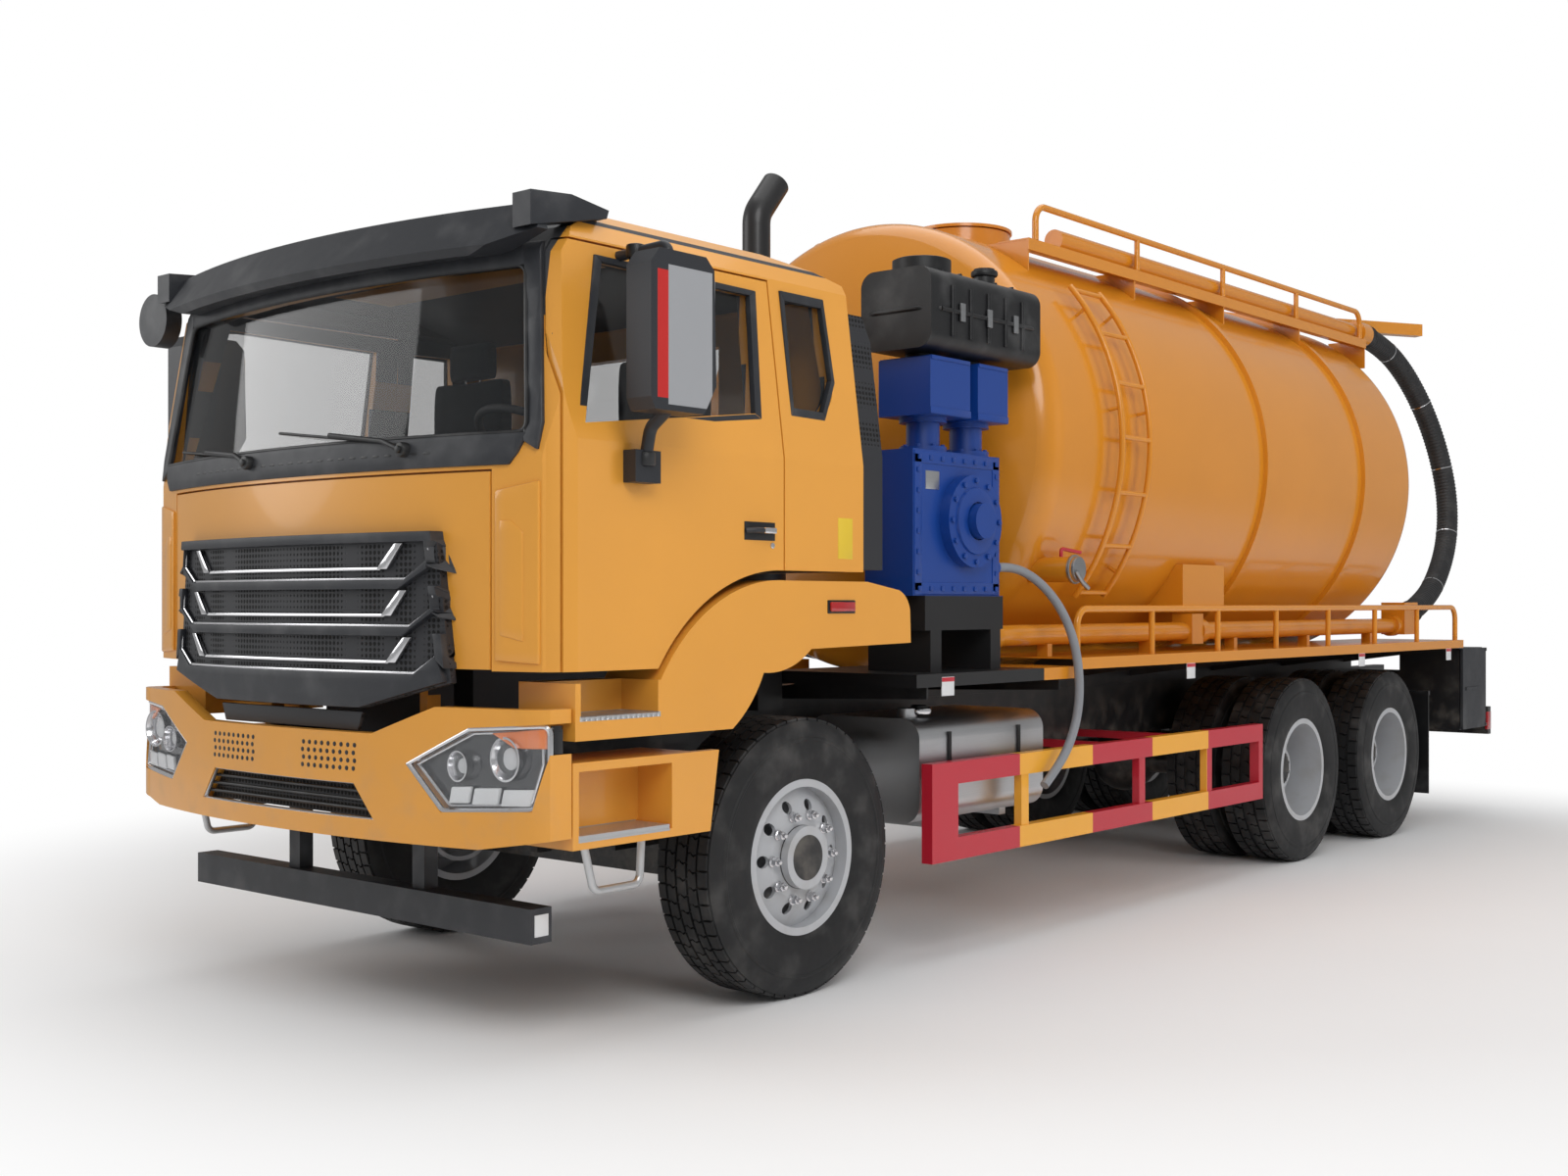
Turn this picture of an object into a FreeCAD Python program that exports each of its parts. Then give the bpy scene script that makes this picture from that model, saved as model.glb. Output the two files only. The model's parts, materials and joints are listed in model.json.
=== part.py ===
"""Vacuum sewage truck on a three-axle chassis with a tilting cab.

Frame: +Z up, front of the truck towards -Y, the driver's (left) side towards +X,
origin on the ground under the middle of the truck's box.  Millimetres.
"""
import FreeCAD, Part
import math
import os
import Sketcher
from FreeCAD import Placement, Rotation, Vector

# Driving dimensions.  Lengths along the truck whose names end in _back are measured
# rearwards from the front axle, and heights whose names end in _level from the ground.
DIMENSIONS = {
    # wheels and axles
    "front_overhang": 1560, "wheelbase": 4570, "tandem": 1350, "rear_overhang": 1920,
    "tyre_radius": 542.5, "tyre_width": 300, "bead_radius": 286, "rim_flange": 302,
    "rim_wall": 14, "front_tyre_outside": 1190, "rear_tyre_outside": 1210, "twin_gap": 50,
    "hub_radius": 122, "drum_radius": 212, "spindle_radius": 45, "running_gap": 0.1,
    "kingpin_side": 880, "kingpin_radius": 24, "axle_beam": 110,
    # chassis frame
    "frame_width": 860, "rail_height": 300, "rail_flange": 80, "rail_web": 9,
    "frame_level": 1060, "frame_front_back": -1440, "subframe_height": 100,
    "subframe_width": 70,
    # cab
    "cab_width": 2500, "cab_nose_back": -1500, "cab_front_radius": 4300,
    "cab_corner_back": -1240, "cab_corner_inset": 60, "cab_corner_depth": 85,
    "cab_rear_back": 280, "cab_floor_level": 1300, "cab_arch_level": 1650,
    "cab_arch_front_back": -867, "cab_arch_rear_back": -200, "cab_arch_radius": 780,
    "belt_level": 2010, "screen_top_level": 2700, "screen_rake": 95,
    "roof_front_level": 2850, "roof_level": 2920, "roof_edge_level": 2800,
    "side_lean": 90, "roof_lean": 190, "cab_wall": 60, "panel_gap": 8,
    "tunnel_half_width": 450, "tunnel_top_level": 1610, "tunnel_front_back": -1210,
    "door_front_back": -1285, "door_rear_back": -205, "lid_half_width": 980,
    "lid_thickness": 30, "lid_bottom_level": 1305, "glass_thickness": 6, "glass_inset": 16,
    "tilt_back": -1400, "tilt_level": 880, "tilt_pin_radius": 24, "tilt_arm_side": 490,
    "tilt_arm_width": 44,
    "driver_side": 600, "wheel_back": -860, "wheel_level": 2120, "wheel_radius": 225,
    "column_lean": 30, "column_length": 320,
    # front end
    "bumper_half_width": 1250, "bumper_nose_back": -1560, "bumper_bottom_level": 715,
    "bumper_top_level": 1180, "bumper_notch_level": 1080, "bumper_notch_half": 530,
    "bumper_side_back": -1268, "bumper_wall": 45, "underrun_half_width": 1042,
    "underrun_level": 376, "underrun_height": 120, "underrun_back": -1260,
    # deck, guards and boxes
    "deck_level": 1270, "deck_thickness": 55, "deck_half_width": 1250, "deck_inside": 540,
    "deck_front_back": 637, "deck_yellow_back": 1950, "rail_tube": 17, "deck_rail_level": 1500,
    "guard_tube": 95, "guard_depth": 55, "guard_bottom_level": 430, "guard_top_level": 850,
    "guard_front_back": 758, "fuel_front_back": 820, "fuel_length": 980, "fuel_level": 580,
    "fuel_height": 450, "box_length": 470, "box_level": 630, "box_width": 430,
    "box_wall": 25, "box_to_bumper": 220, "rear_bumper_level": 565,
    "rear_bumper_height": 202,
    # tank
    "tank_radius": 1157, "tank_level": 2329, "tank_front_back": 1950, "crown_radius": 2300,
    "knuckle_radius": 145,
    "tank_rear_gap": 1510, "rib_width": 60, "rib_height": 26, "manhole_radius": 270,
    "manhole_back": 2750, "manhole_level": 3560, "platform_half_width": 750,
    "platform_inside": 564, "platform_level": 3380, "platform_thickness": 60,
    "top_rail_level": 3560, "deck_pipe_radius": 50, "deck_pipe_side": 1000,
    "deck_pipe_level": 1375, "hose_radius": 75, "drain_radius": 21,
    # pump set
    "pump_side": 1110, "pump_front_back": 800, "pump_length": 660, "pump_level": 1560,
    "pump_height": 630,
}

doc = FreeCAD.newDocument("VacuumSewageTruck")
sheet = doc.addObject("Spreadsheet::Sheet", "Sizes")


class Size:
    """A number worked out from cells of the sheet, kept as a value and as an expression."""

    def __init__(self, value, text):
        self.value = float(value)
        self.text = text

    def __add__(self, other):
        other = size(other)
        return Size(self.value + other.value, f"({self.text} + {other.text})")

    def __sub__(self, other):
        other = size(other)
        return Size(self.value - other.value, f"({self.text} - {other.text})")

    def __mul__(self, other):
        other = size(other)
        return Size(self.value * other.value, f"({self.text} * {other.text})")

    def __truediv__(self, other):
        other = size(other)
        return Size(self.value / other.value, f"({self.text} / {other.text})")

    def __radd__(self, other):
        return size(other) + self

    def __rsub__(self, other):
        return size(other) - self

    def __rmul__(self, other):
        return size(other) * self

    def __neg__(self):
        return Size(-self.value, f"(-1 * {self.text})")


def size(number):
    """A Size from a Size or from a plain number."""
    if isinstance(number, Size):
        return number
    return Size(number, f"({float(number):.6f})")


class Cells:
    """Fills the sheet and hands out each cell as a Size by its alias."""

    def __init__(self, dimensions):
        for row, (alias, number) in enumerate(dimensions.items(), start=1):
            sheet.set(f"A{row}", alias)
            sheet.set(f"B{row}", str(number))
            sheet.setAlias(f"B{row}", alias)
        doc.recompute()
        self.names = set(dimensions)

    def __getattr__(self, alias):
        if alias.startswith("_") or alias not in self.names:
            raise AttributeError(alias)
        return Size(sheet.get(alias), f"Sizes.{alias}")


S = Cells(DIMENSIONS)
BODIES = {}


# ---------------------------------------------------------------- places along the truck
def front_axle():
    """Y of the front axle: the truck's box is centred on the origin."""
    total = S.front_overhang + S.wheelbase + S.tandem + S.rear_overhang
    return S.front_overhang - total / 2


def back(distance):
    """Y of a point that lies this far behind the front axle."""
    return front_axle() + distance


def rear_axle(number):
    """Y of the first or second rear axle."""
    return back(S.wheelbase) + S.tandem * (number - 1)


def rear_end():
    """Y of the rear face of the truck."""
    return rear_axle(2) + S.rear_overhang


def deck_rear():
    """Y where the walkways end, in front of the rear tool boxes."""
    return rear_end() - S.box_to_bumper - S.box_length - 3


# ---------------------------------------------------------------- building blocks
def bind(item, **places):
    """Binds properties of an object to expressions; __ stands for a dot."""
    for name, number in places.items():
        item.setExpression(name.replace("__", "."), size(number).text)
    return item


def move(item, x=0, y=0, z=0):
    """Places an object."""
    return bind(item, Placement__Base__x=x, Placement__Base__y=y, Placement__Base__z=z)


def block(name, x0, x1, y0, y1, z0, z1):
    """A box between two corners."""
    item = doc.addObject("Part::Box", name)
    bind(item, Length=size(x1) - x0, Width=size(y1) - y0, Height=size(z1) - z0)
    return move(item, x0, y0, z0)


AXES = {"x": Rotation(Vector(0, 1, 0), 90), "y": Rotation(Vector(1, 0, 0), -90),
        "z": Rotation()}


def rod(name, axis, radius, length, x, y, z):
    """A cylinder that starts at a point and runs along +X, +Y or +Z."""
    item = doc.addObject("Part::Cylinder", name)
    item.Placement = Placement(Vector(), AXES[axis])
    bind(item, Radius=radius, Height=length)
    return move(item, x, y, z)


def gather(kind, name, items):
    """A boolean of several objects."""
    item = doc.addObject(kind, name)
    item.Shapes = list(items)
    return item


def fused(name, *items):
    """Union of objects; pieces that do not touch stay separate solids."""
    item = gather("Part::MultiFuse", name, items)
    item.Refine = True
    return item


def shared(name, *items):
    """Intersection of objects."""
    return gather("Part::MultiCommon", name, items)


def cut(name, base, tool):
    """Difference of two objects."""
    item = doc.addObject("Part::Cut", name)
    item.Base = base
    item.Tool = tool
    return item


def copied(name, source, x=0, y=0, z=0):
    """A moved copy of an object that follows its source."""
    item = doc.addObject("Part::Compound", name)
    item.Links = [source]
    return move(item, x, y, z)


def mirrored(name, source):
    """The same object on the other side of the truck."""
    item = doc.addObject("Part::Mirroring", name)
    item.Source = source
    item.Normal = Vector(1, 0, 0)
    return item


def both_sides(name, source):
    """An object and its mirror image as one object."""
    return fused(name, source, mirrored(name + "_other", source))


def arc_middle(start, end, radius):
    """Middle point of the arc; a positive radius has its centre on the left of the way."""
    chord = end.sub(start)
    half = chord.Length / 2
    side = Vector(-chord.y, chord.x, 0).normalize()
    rise = abs(radius) - math.sqrt(max(radius * radius - half * half, 0.0))
    return start.add(end).multiply(0.5).sub(side.multiply(math.copysign(rise, radius)))


def pin_point(drawing, geometry, position, x, y):
    """Ties one end of a sketch line to its place by two dimensions."""
    for kind, place in (("DistanceX", size(x)), ("DistanceY", size(y))):
        ends = (-1, 1, geometry, position)
        if place.value < 0:
            ends = (geometry, position, -1, 1)
            place = -place
        number = drawing.addConstraint(Sketcher.Constraint(kind, *ends, place.value))
        drawing.setExpression(f"Constraints[{number}]", place.text)


def draw(body, plane, outline, offset=0):
    """A closed sketch.  Each corner is (u, v), or (u, v, radius) for an arc that ends there."""
    face = [item for item in body.Origin.OriginFeatures if item.Role == plane][0]
    drawing = body.newObject("Sketcher::SketchObject", body.Name + "_sketch")
    drawing.AttachmentSupport = [(face, "")]
    drawing.MapMode = "FlatFace"
    drawing.setExpression("AttachmentOffset.Base.z", size(offset).text)
    corners = [(size(c[0]), size(c[1])) for c in outline]
    spots = [Vector(u.value, v.value, 0) for u, v in corners]
    ends = []
    for number, corner in enumerate(outline):
        start, end = spots[number - 1], spots[number]
        if len(corner) == 3:
            radius = size(corner[2])
            bow = Part.Arc(start, arc_middle(start, end, radius.value), end)
            drawing.addGeometry(bow, False)
            ends.append((2, 1) if radius.value < 0 else (1, 2))
        else:
            drawing.addGeometry(Part.LineSegment(start, end), False)
            ends.append((1, 2))
    for number, corner in enumerate(outline):
        following = (number + 1) % len(outline)
        join = (number, ends[number][1], following, ends[following][0])
        drawing.addConstraint(Sketcher.Constraint("Coincident", *join))
        pin_point(drawing, number, ends[number][1], *corners[number])
        if len(corner) == 3:
            radius = size(corner[2])
            radius = -radius if radius.value < 0 else radius
            tie = Sketcher.Constraint("Radius", number, radius.value)
            drawing.setExpression(f"Constraints[{drawing.addConstraint(tie)}]", radius.text)
    return drawing


def new_body(name):
    """An empty PartDesign body."""
    body = doc.addObject("PartDesign::Body", name)
    doc.recompute()
    return body


NORMALS = {"YZ_Plane": 1, "XZ_Plane": -1, "XY_Plane": 1}


def prism(name, plane, outline, start, end):
    """A body: an outline padded from start to end along the axis square to its plane."""
    body = new_body(name)
    base = size(start) if NORMALS[plane] > 0 else -size(end)
    drawing = draw(body, plane, outline, base)
    pad = body.newObject("PartDesign::Pad", name + "_pad")
    pad.Profile = drawing
    bind(pad, Length=size(end) - start)
    drawing.Visibility = False
    return body


def turned(name, plane, outline, axis, x=0, y=0, z=0):
    """A body: an outline turned round the sketch's own H_Axis or V_Axis."""
    body = new_body(name)
    drawing = draw(body, plane, outline)
    ring = body.newObject("PartDesign::Revolution", name + "_turn")
    ring.Profile = drawing
    ring.ReferenceAxis = (drawing, [axis])
    ring.Angle = 360
    return move(body, x, y, z)


def solid(name, shape):
    """A Part::Feature for a form that bodies and primitives do not give."""
    item = doc.addObject("Part::Feature", name)
    item.Shape = shape
    item.Placement = Placement()
    return item


def point(x, y, z):
    """A vector from Sizes or numbers."""
    return Vector(size(x).value, size(y).value, size(z).value)


def bent_path(points, radii):
    """Straight runs joined by tangent arcs, one radius for each inner point."""
    edges = []
    last = points[0]
    for number in range(1, len(points) - 1):
        here = points[number]
        incoming = here.sub(points[number - 1]).normalize()
        outgoing = points[number + 1].sub(here).normalize()
        turn = incoming.getAngle(outgoing)
        reach = radii[number - 1] * math.tan(turn / 2)
        start = here.sub(Vector(incoming).multiply(reach))
        end = here.add(Vector(outgoing).multiply(reach))
        inward = outgoing.sub(incoming).normalize()
        depth = radii[number - 1] * (1 / math.cos(turn / 2) - 1)
        edges.append(Part.LineSegment(last, start).toShape())
        edges.append(Part.Arc(start, here.add(inward.multiply(depth)), end).toShape())
        last = end
    edges.append(Part.LineSegment(last, points[-1]).toShape())
    return Part.Wire(edges)


def pipe(path, radius):
    """A round bar along a path."""
    start = path.Edges[0]
    ring = Part.Circle(start.valueAt(start.FirstParameter),
                       start.tangentAt(start.FirstParameter), radius)
    profile = Part.Wire([ring.toShape()])
    return path.makePipeShell([profile], True, False)


def tube(name, points, radius, bend):
    """A bent round tube with one bend radius throughout."""
    spots = [point(*p) for p in points]
    path = bent_path(spots, [size(bend).value] * (len(spots) - 2))
    return solid(name, pipe(path, size(radius).value))


def keep(body_name, item, label):
    """Names a finished sub-part and notes the body that it moves with."""
    item.Label = label
    BODIES[label] = (body_name, item)
    return item


def root(number):
    """Square root of a Size."""
    return Size(math.sqrt(number.value), f"sqrt({number.text})")


# ---------------------------------------------------------------- wheels
def tyre(name, outside, axle_y):
    """A radial truck tyre as one closed ring; outside is the X of its outer wall."""
    width, radius = S.tyre_width, S.tyre_radius
    tread_edge, bulge = radius - 14, S.bead_radius + (radius - S.bead_radius) * 0.5
    seat, over = S.rim_wall + 18.3, S.rim_flange + 5
    ring = [(outside - seat, S.bead_radius), (outside - seat, over), (outside, bulge, 200),
            (outside - 22, tread_edge, 300), (outside - 50, radius, 40),
            (outside - width + 50, radius), (outside - width + 22, tread_edge, 40),
            (outside - width, bulge, 300), (outside - width + seat, over, 200),
            (outside - width + seat, S.bead_radius)]
    return turned(name, "XZ_Plane", ring, "H_Axis", 0, axle_y, S.tyre_radius)


def wheel_barrel(name, outside):
    """The rim's barrel with its two flanges, round the X axis."""
    inner, flange, wall = S.bead_radius - S.rim_wall, S.rim_flange, S.rim_wall
    lip, back_lip = outside - 18, outside - S.tyre_width + 18
    ring = [(lip, inner), (lip, flange), (lip - wall, flange), (lip - wall, S.bead_radius - 0.3),
            (back_lip + wall, S.bead_radius - 0.3), (back_lip + wall, flange),
            (back_lip, flange), (back_lip, inner)]
    return turned(name, "XZ_Plane", ring, "H_Axis")


def wheel_disc(name, seat, crown):
    """The dished disc: seat is its hub face, crown where it meets the barrel."""
    inner, hub = S.bead_radius - S.rim_wall + 2, S.hub_radius
    ring = [(seat, S.spindle_radius + 3), (seat, hub + 45), (crown, inner),
            (crown - S.rim_wall, inner), (seat - S.rim_wall, hub + 40),
            (seat - S.rim_wall, S.spindle_radius + 3)]
    return turned(name, "XZ_Plane", ring, "H_Axis")


def hand_holes(name, x):
    """Ten round holes through a wheel disc, as cutters."""
    count, radius, hole = 10, S.hub_radius + 82, 24
    tools = []
    for number in range(count):
        angle = math.radians(360 / count * number)
        tools.append(rod(f"{name}_{number}", "x", hole, 160, size(x) - 80,
                         radius * math.cos(angle), radius * math.sin(angle)))
    return gather("Part::MultiFuse", name, tools)


def hub(name, x0, x1):
    """A hub barrel, closed by a cap at x1 once it's bored."""
    return rod(name, "x", S.hub_radius, size(x1) - x0, x0, 0, 0)


def bored(name, item, x0, x1):
    """A wheel bored for its spindle from x0 to 30 mm short of x1."""
    bore = rod(name + "_bore", "x", S.spindle_radius + S.running_gap, size(x1) - x0 - 20, x0 - 10,
               0, 0)
    return cut(name, item, bore)


def drum(name, x0, x1):
    """A brake drum: a cup open towards the middle of the truck."""
    cup = rod(name + "_cup", "x", S.drum_radius, size(x1) - x0, x0, 0, 0)
    space = rod(name + "_space", "x", S.drum_radius - 20, size(x1) - x0 - 22, x0, 0, 0)
    return cut(name, cup, space)


def front_rim(name):
    """Front wheel: convex disc, hub and brake drum in one piece."""
    outside = S.front_tyre_outside
    seat, crown = outside - 30, outside - 75
    disc = cut(name + "_web", wheel_disc(name + "_disc", seat, crown),
               hand_holes(name + "_holes", crown))
    whole = fused(name + "_whole", wheel_barrel(name + "_barrel", outside), disc,
                  hub(name + "_hub", outside - 215, outside + 8),
                  drum(name + "_drum", outside - 290, outside - 150))
    return bored(name, whole, outside - 215, outside + 8)


def twin_rims(name):
    """Rear twin wheels: two deep discs back to back, hub and brake drum in one piece."""
    outside = S.rear_tyre_outside
    inside = outside - S.tyre_width - S.twin_gap
    middle = outside - S.tyre_width - S.twin_gap / 2
    outer = wheel_disc(name + "_outer_disc", middle + S.rim_wall, middle + 95)
    inner = wheel_disc(name + "_inner_disc", middle, middle - 60)
    discs = cut(name + "_web", fused(name + "_discs", outer, inner),
                hand_holes(name + "_holes", middle))
    whole = fused(name + "_whole", wheel_barrel(name + "_outer", outside),
                  wheel_barrel(name + "_inner", inside), discs,
                  hub(name + "_hub", middle - 160, middle + 175),
                  drum(name + "_drum", middle - 290, middle - 40))
    return bored(name, whole, middle - 160, middle + 175)


def make_wheels():
    """Tyres and rims of the three axles."""
    for side, flip in (("left", False), ("right", True)):
        pieces = {f"front_{side}_rim": (front_rim, front_axle()),
                  f"rear1_{side}_rims": (twin_rims, rear_axle(1)),
                  f"rear2_{side}_rims": (twin_rims, rear_axle(2))}
        for label, (maker, y) in pieces.items():
            body = label.rsplit("_", 1)[0] + "_wheel"
            half = maker(label + "_source")
            half = mirrored(label + "_flip", half) if flip else half
            keep(body, copied(label, half, 0, y, S.tyre_radius), label)
        outer, pair = S.rear_tyre_outside, S.tyre_width + S.twin_gap
        rows = {f"front_{side}_tyre": ((S.front_tyre_outside,), front_axle()),
                f"rear1_{side}_tyres": ((outer, outer - pair), rear_axle(1)),
                f"rear2_{side}_tyres": ((outer, outer - pair), rear_axle(2))}
        for label, (faces, y) in rows.items():
            body = label.rsplit("_", 1)[0] + "_wheel"
            rings = [tyre(f"{label}_{number}", face, y) for number, face in enumerate(faces)]
            if flip:
                rings = [mirrored(ring.Name + "_flip", ring) for ring in rings]
            group = doc.addObject("Part::Compound", label)
            group.Links = rings
            keep(body, group, label)


# ---------------------------------------------------------------- chassis
def rail(name):
    """The left frame rail: a channel open towards the middle, from end to end."""
    outer = S.frame_width / 2
    low, high, web = S.frame_level - S.rail_height, S.frame_level, S.rail_web
    outline = [(outer, low), (outer, high), (outer - S.rail_flange, high),
               (outer - S.rail_flange, high - web), (outer - web, high - web),
               (outer - web, low + web), (outer - S.rail_flange, low + web),
               (outer - S.rail_flange, low)]
    return prism(name, "XZ_Plane", outline, back(S.frame_front_back), rear_end() - 60)


def make_chassis_frame():
    """Rails, cross members, tank subframe, walkway outriggers, cab pivots and rear tow eye.

    Members that are bolted together stay separate solids, a seat apart.
    """
    seat = 0.3
    outer, high, low = S.frame_width / 2, S.frame_level, S.frame_level - S.rail_height
    pieces = [both_sides("rails", rail("rail_left"))]
    places = [back(S.frame_front_back) + 60, back(-480), back(900), back(2100), back(3300),
              rear_axle(1) - 420, rear_axle(1) + 620, rear_axle(2) + 420, rear_end() - 190]
    inner = outer - S.rail_web - seat
    for number, y in enumerate(places):
        pieces.append(block(f"cross_member_{number}", -inner, inner, y, y + 80,
                            low + S.rail_web + seat, low + (75 if number == 1 else 150)))
    sub = block("subframe_left", outer - S.subframe_width, outer, back(S.deck_front_back),
                deck_rear(), high + seat, high + S.subframe_height)
    pieces.append(both_sides("subframe", sub))
    for number in range(7):
        y = back(S.deck_front_back + 90) + (deck_rear() - back(S.deck_front_back) - 240) / 6 * number
        under, tuck = S.deck_level - 8.3, 60
        if number < 2:
            under, tuck = S.deck_level - S.deck_thickness - 40.3, 20
        edge = S.deck_half_width - 15
        plate = [(outer + seat, high + 40), (edge, under - 50), (edge, under),
                 (S.deck_inside, under), (outer + seat, under - tuck)]
        arm = prism(f"outrigger_{number}", "XZ_Plane", plate, y, y + 10)
        pieces.append(both_sides(f"outriggers_{number}", arm))
    pin = rod("tilt_pin", "x", S.tilt_pin_radius,
              S.tilt_arm_side + S.tilt_arm_width / 2 + 12 - outer, outer - 2,
              back(S.tilt_back), S.tilt_level)
    pieces.append(both_sides("tilt_pins", pin))
    eye = cut("tow_eye", rod("tow_disc", "z", 62, 44, 0, rear_end() - 62, low + 90),
              rod("tow_hole", "z", 25, 80, 0, rear_end() - 62, low + 70))
    shank = block("tow_shank", -30, 30, rear_end() - 192, rear_end() - 105, low + 94, low + 130)
    pieces += [eye, shank]
    keep("chassis", fused("chassis_frame", *pieces), "chassis_frame")


def make_engine():
    """Engine with gearbox, and the radiator in front of it, as plain blocks."""
    low = S.frame_level - S.rail_height
    block_main = block("engine_main", -290, 290, back(-900), back(120), low + 90, 1545)
    gearbox = rod("gearbox", "y", 190, 760, 0, back(110), low + 200)
    radiator = block("radiator", -340, 340, back(-1120), back(-1030), low + 20, 1560)
    inner = S.frame_width / 2 - S.rail_web - 0.3
    seat = block("radiator_foot", -inner, inner, back(-1120), back(-1030), low + 9.3, low + 21)
    mounts = [block(f"engine_mount_{n}", -inner, inner, back(y), back(y + 90), low + 9.3, low + 92)
              for n, y in enumerate((-800, 500))]
    keep("chassis", fused("engine_block", block_main, gearbox, radiator, seat, *mounts),
         "engine_block")


def spring(name, x, y, length, z):
    """A stack of three leaves under one rail, with its clamp; z is the under side."""
    leaves = []
    for number, share in enumerate((1, 0.72, 0.46)):
        half = length / 2 * share
        leaves.append(block(f"{name}_leaf_{number}", x - 45, x + 45, y - half, y + half,
                            z + 20 * (2 - number), z + 20 * (3 - number)))
    leaves.append(block(name + "_clamp", x - 60, x + 60, y - 75, y + 75, z - 25, z + 60))
    return fused(name, *leaves)


def make_front_axle():
    """The dropped front beam with its kingpin eyes, and the two leaf springs."""
    x, y, half = S.kingpin_side, front_axle(), S.axle_beam / 2
    mid = S.tyre_radius
    low = mid - 75
    beam = block("beam_middle", -x + 140, x - 140, y - half, y + half, low - 60, low + 50)
    rise = prism("beam_rise", "XZ_Plane",
                 [(x - 150, low - 60), (x - 60, mid - 44), (x - 38, mid - 44), (x - 38, mid + 44),
                  (x - 60, mid + 44), (x - 150, low + 50)],
                 y - half, y + half)
    boss = rod("kingpin_boss", "z", 44, 96, x, y, mid - 48)
    pin = rod("kingpin", "z", S.kingpin_radius, 236, x, y, mid - 118)
    ends = both_sides("beam_ends", fused("beam_end", rise, boss, pin))
    rail_side = S.frame_width / 2 + 10
    leaf = spring("front_spring", rail_side, y, size(1500), low + 75)
    top = S.frame_level - S.rail_height + 70
    hangers = [block(f"front_hanger_{n}", rail_side - 9.7, rail_side + 40, y + size(side),
                     y + size(side) + 60, low + 110, top) for n, side in enumerate((-735, 675))]
    sides = both_sides("front_springs", fused("front_spring_set", leaf, *hangers))
    keep("chassis", fused("front_axle", beam, ends, sides), "front_axle")


def make_rear_axles():
    """Two drive axles with their bowls, the tandem springs and the propeller shaft."""
    pieces = []
    tube_end = S.rear_tyre_outside - S.tyre_width - S.twin_gap / 2 - 166
    side = S.frame_width / 2 + 55
    for number in (1, 2):
        y = rear_axle(number)
        pieces.append(rod(f"axle_tube_{number}", "x", 78, tube_end * 2, -tube_end, y, S.tyre_radius))
        spindle = rod(f"axle_spindle_{number}", "x", S.spindle_radius, tube_end * 2 + 580,
                      -tube_end - 290, y, S.tyre_radius)
        pad = block(f"axle_pad_{number}", side - 45, side + 45, y - 60, y + 60, S.tyre_radius + 50,
                    S.tyre_radius + 120)
        pieces.append(both_sides(f"axle_pads_{number}", pad))
        bowl = doc.addObject("Part::Sphere", f"axle_bowl_{number}")
        bind(bowl, Radius=205)
        bowl.Placement = Placement(Vector(), Rotation(Vector(0, 0, 1), 45))
        pieces += [spindle, move(bowl, 0, y, S.tyre_radius)]
    shaft = rod("propeller_shaft", "y", 55, rear_axle(2) - back(1000), 0, back(1000),
                S.tyre_radius + 70)
    middle = (rear_axle(1) + rear_axle(2)) / 2
    leaf = spring("rear_spring", side, middle, S.tandem + 120, S.tyre_radius + 78)
    seat = block("trunnion", S.frame_width / 2 + 0.3, side + 60, middle - 90, middle + 90,
                 S.tyre_radius + 130, S.frame_level - S.rail_height + 90)
    sides = both_sides("rear_springs", fused("rear_spring_set", leaf, seat))
    keep("chassis", fused("rear_axles", shaft, sides, *pieces), "rear_axles")


def make_knuckles():
    """Steering knuckles: a fork round the beam end, the spindle and the steering arm."""
    x, mid = S.kingpin_side, S.tyre_radius
    fork = []
    for number, z in enumerate((mid + 53, mid - 113)):
        lug = rod(f"knuckle_lug_{number}", "z", 50, 60, x, 0, z)
        hole = rod(f"knuckle_hole_{number}", "z", S.kingpin_radius + S.running_gap, 90, x, 0,
                   size(z) - 15)
        fork.append(cut(f"knuckle_eye_{number}", lug, hole))
    web_x = x + 52
    web = block("knuckle_web", web_x, web_x + 36, -48, 48, mid - 113, mid + 113)
    ties = [block(f"knuckle_tie_{n}", x + 30, web_x + 4, -34, 34, z, size(z) + 56)
            for n, z in enumerate((mid + 55, mid - 111))]
    spindle = rod("knuckle_spindle", "x", S.spindle_radius,
                  S.front_tyre_outside - 26 - web_x - 20, web_x + 20, 0, mid)
    arm = block("knuckle_arm", x - 30, x + 14, 38, 190, mid - 111, mid - 81)
    knuckle = fused("knuckle_source", *fork, web, *ties, spindle, arm)
    keep("left_knuckle", copied("left_knuckle", knuckle, 0, front_axle(), 0), "left_knuckle")
    other = mirrored("knuckle_flip", knuckle)
    keep("right_knuckle", copied("right_knuckle", other, 0, front_axle(), 0), "right_knuckle")


# ---------------------------------------------------------------- cab
def nose_ring(name, outline):
    """A ring round the upright axis of the cab's curved front; u is the inset from it."""
    centre = S.cab_front_radius
    ring = [(centre - u, z) for u, z in outline] if len(outline[0]) == 2 else outline
    return turned(name, "YZ_Plane", ring, "V_Axis", 0, back(S.cab_nose_back) + centre, 0)


def side_line(inset):
    """Front-view outline of the cab's left half: upright, then leaning in to the roof."""
    half = S.cab_width / 2 - inset
    return [(half, S.cab_floor_level - 150), (half, S.belt_level + 60),
            (half - S.side_lean, S.roof_edge_level - 40),
            (half - S.side_lean - 40, S.roof_edge_level + 35 - inset),
            (half - S.roof_lean, S.roof_edge_level + 75 - inset)]


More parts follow.
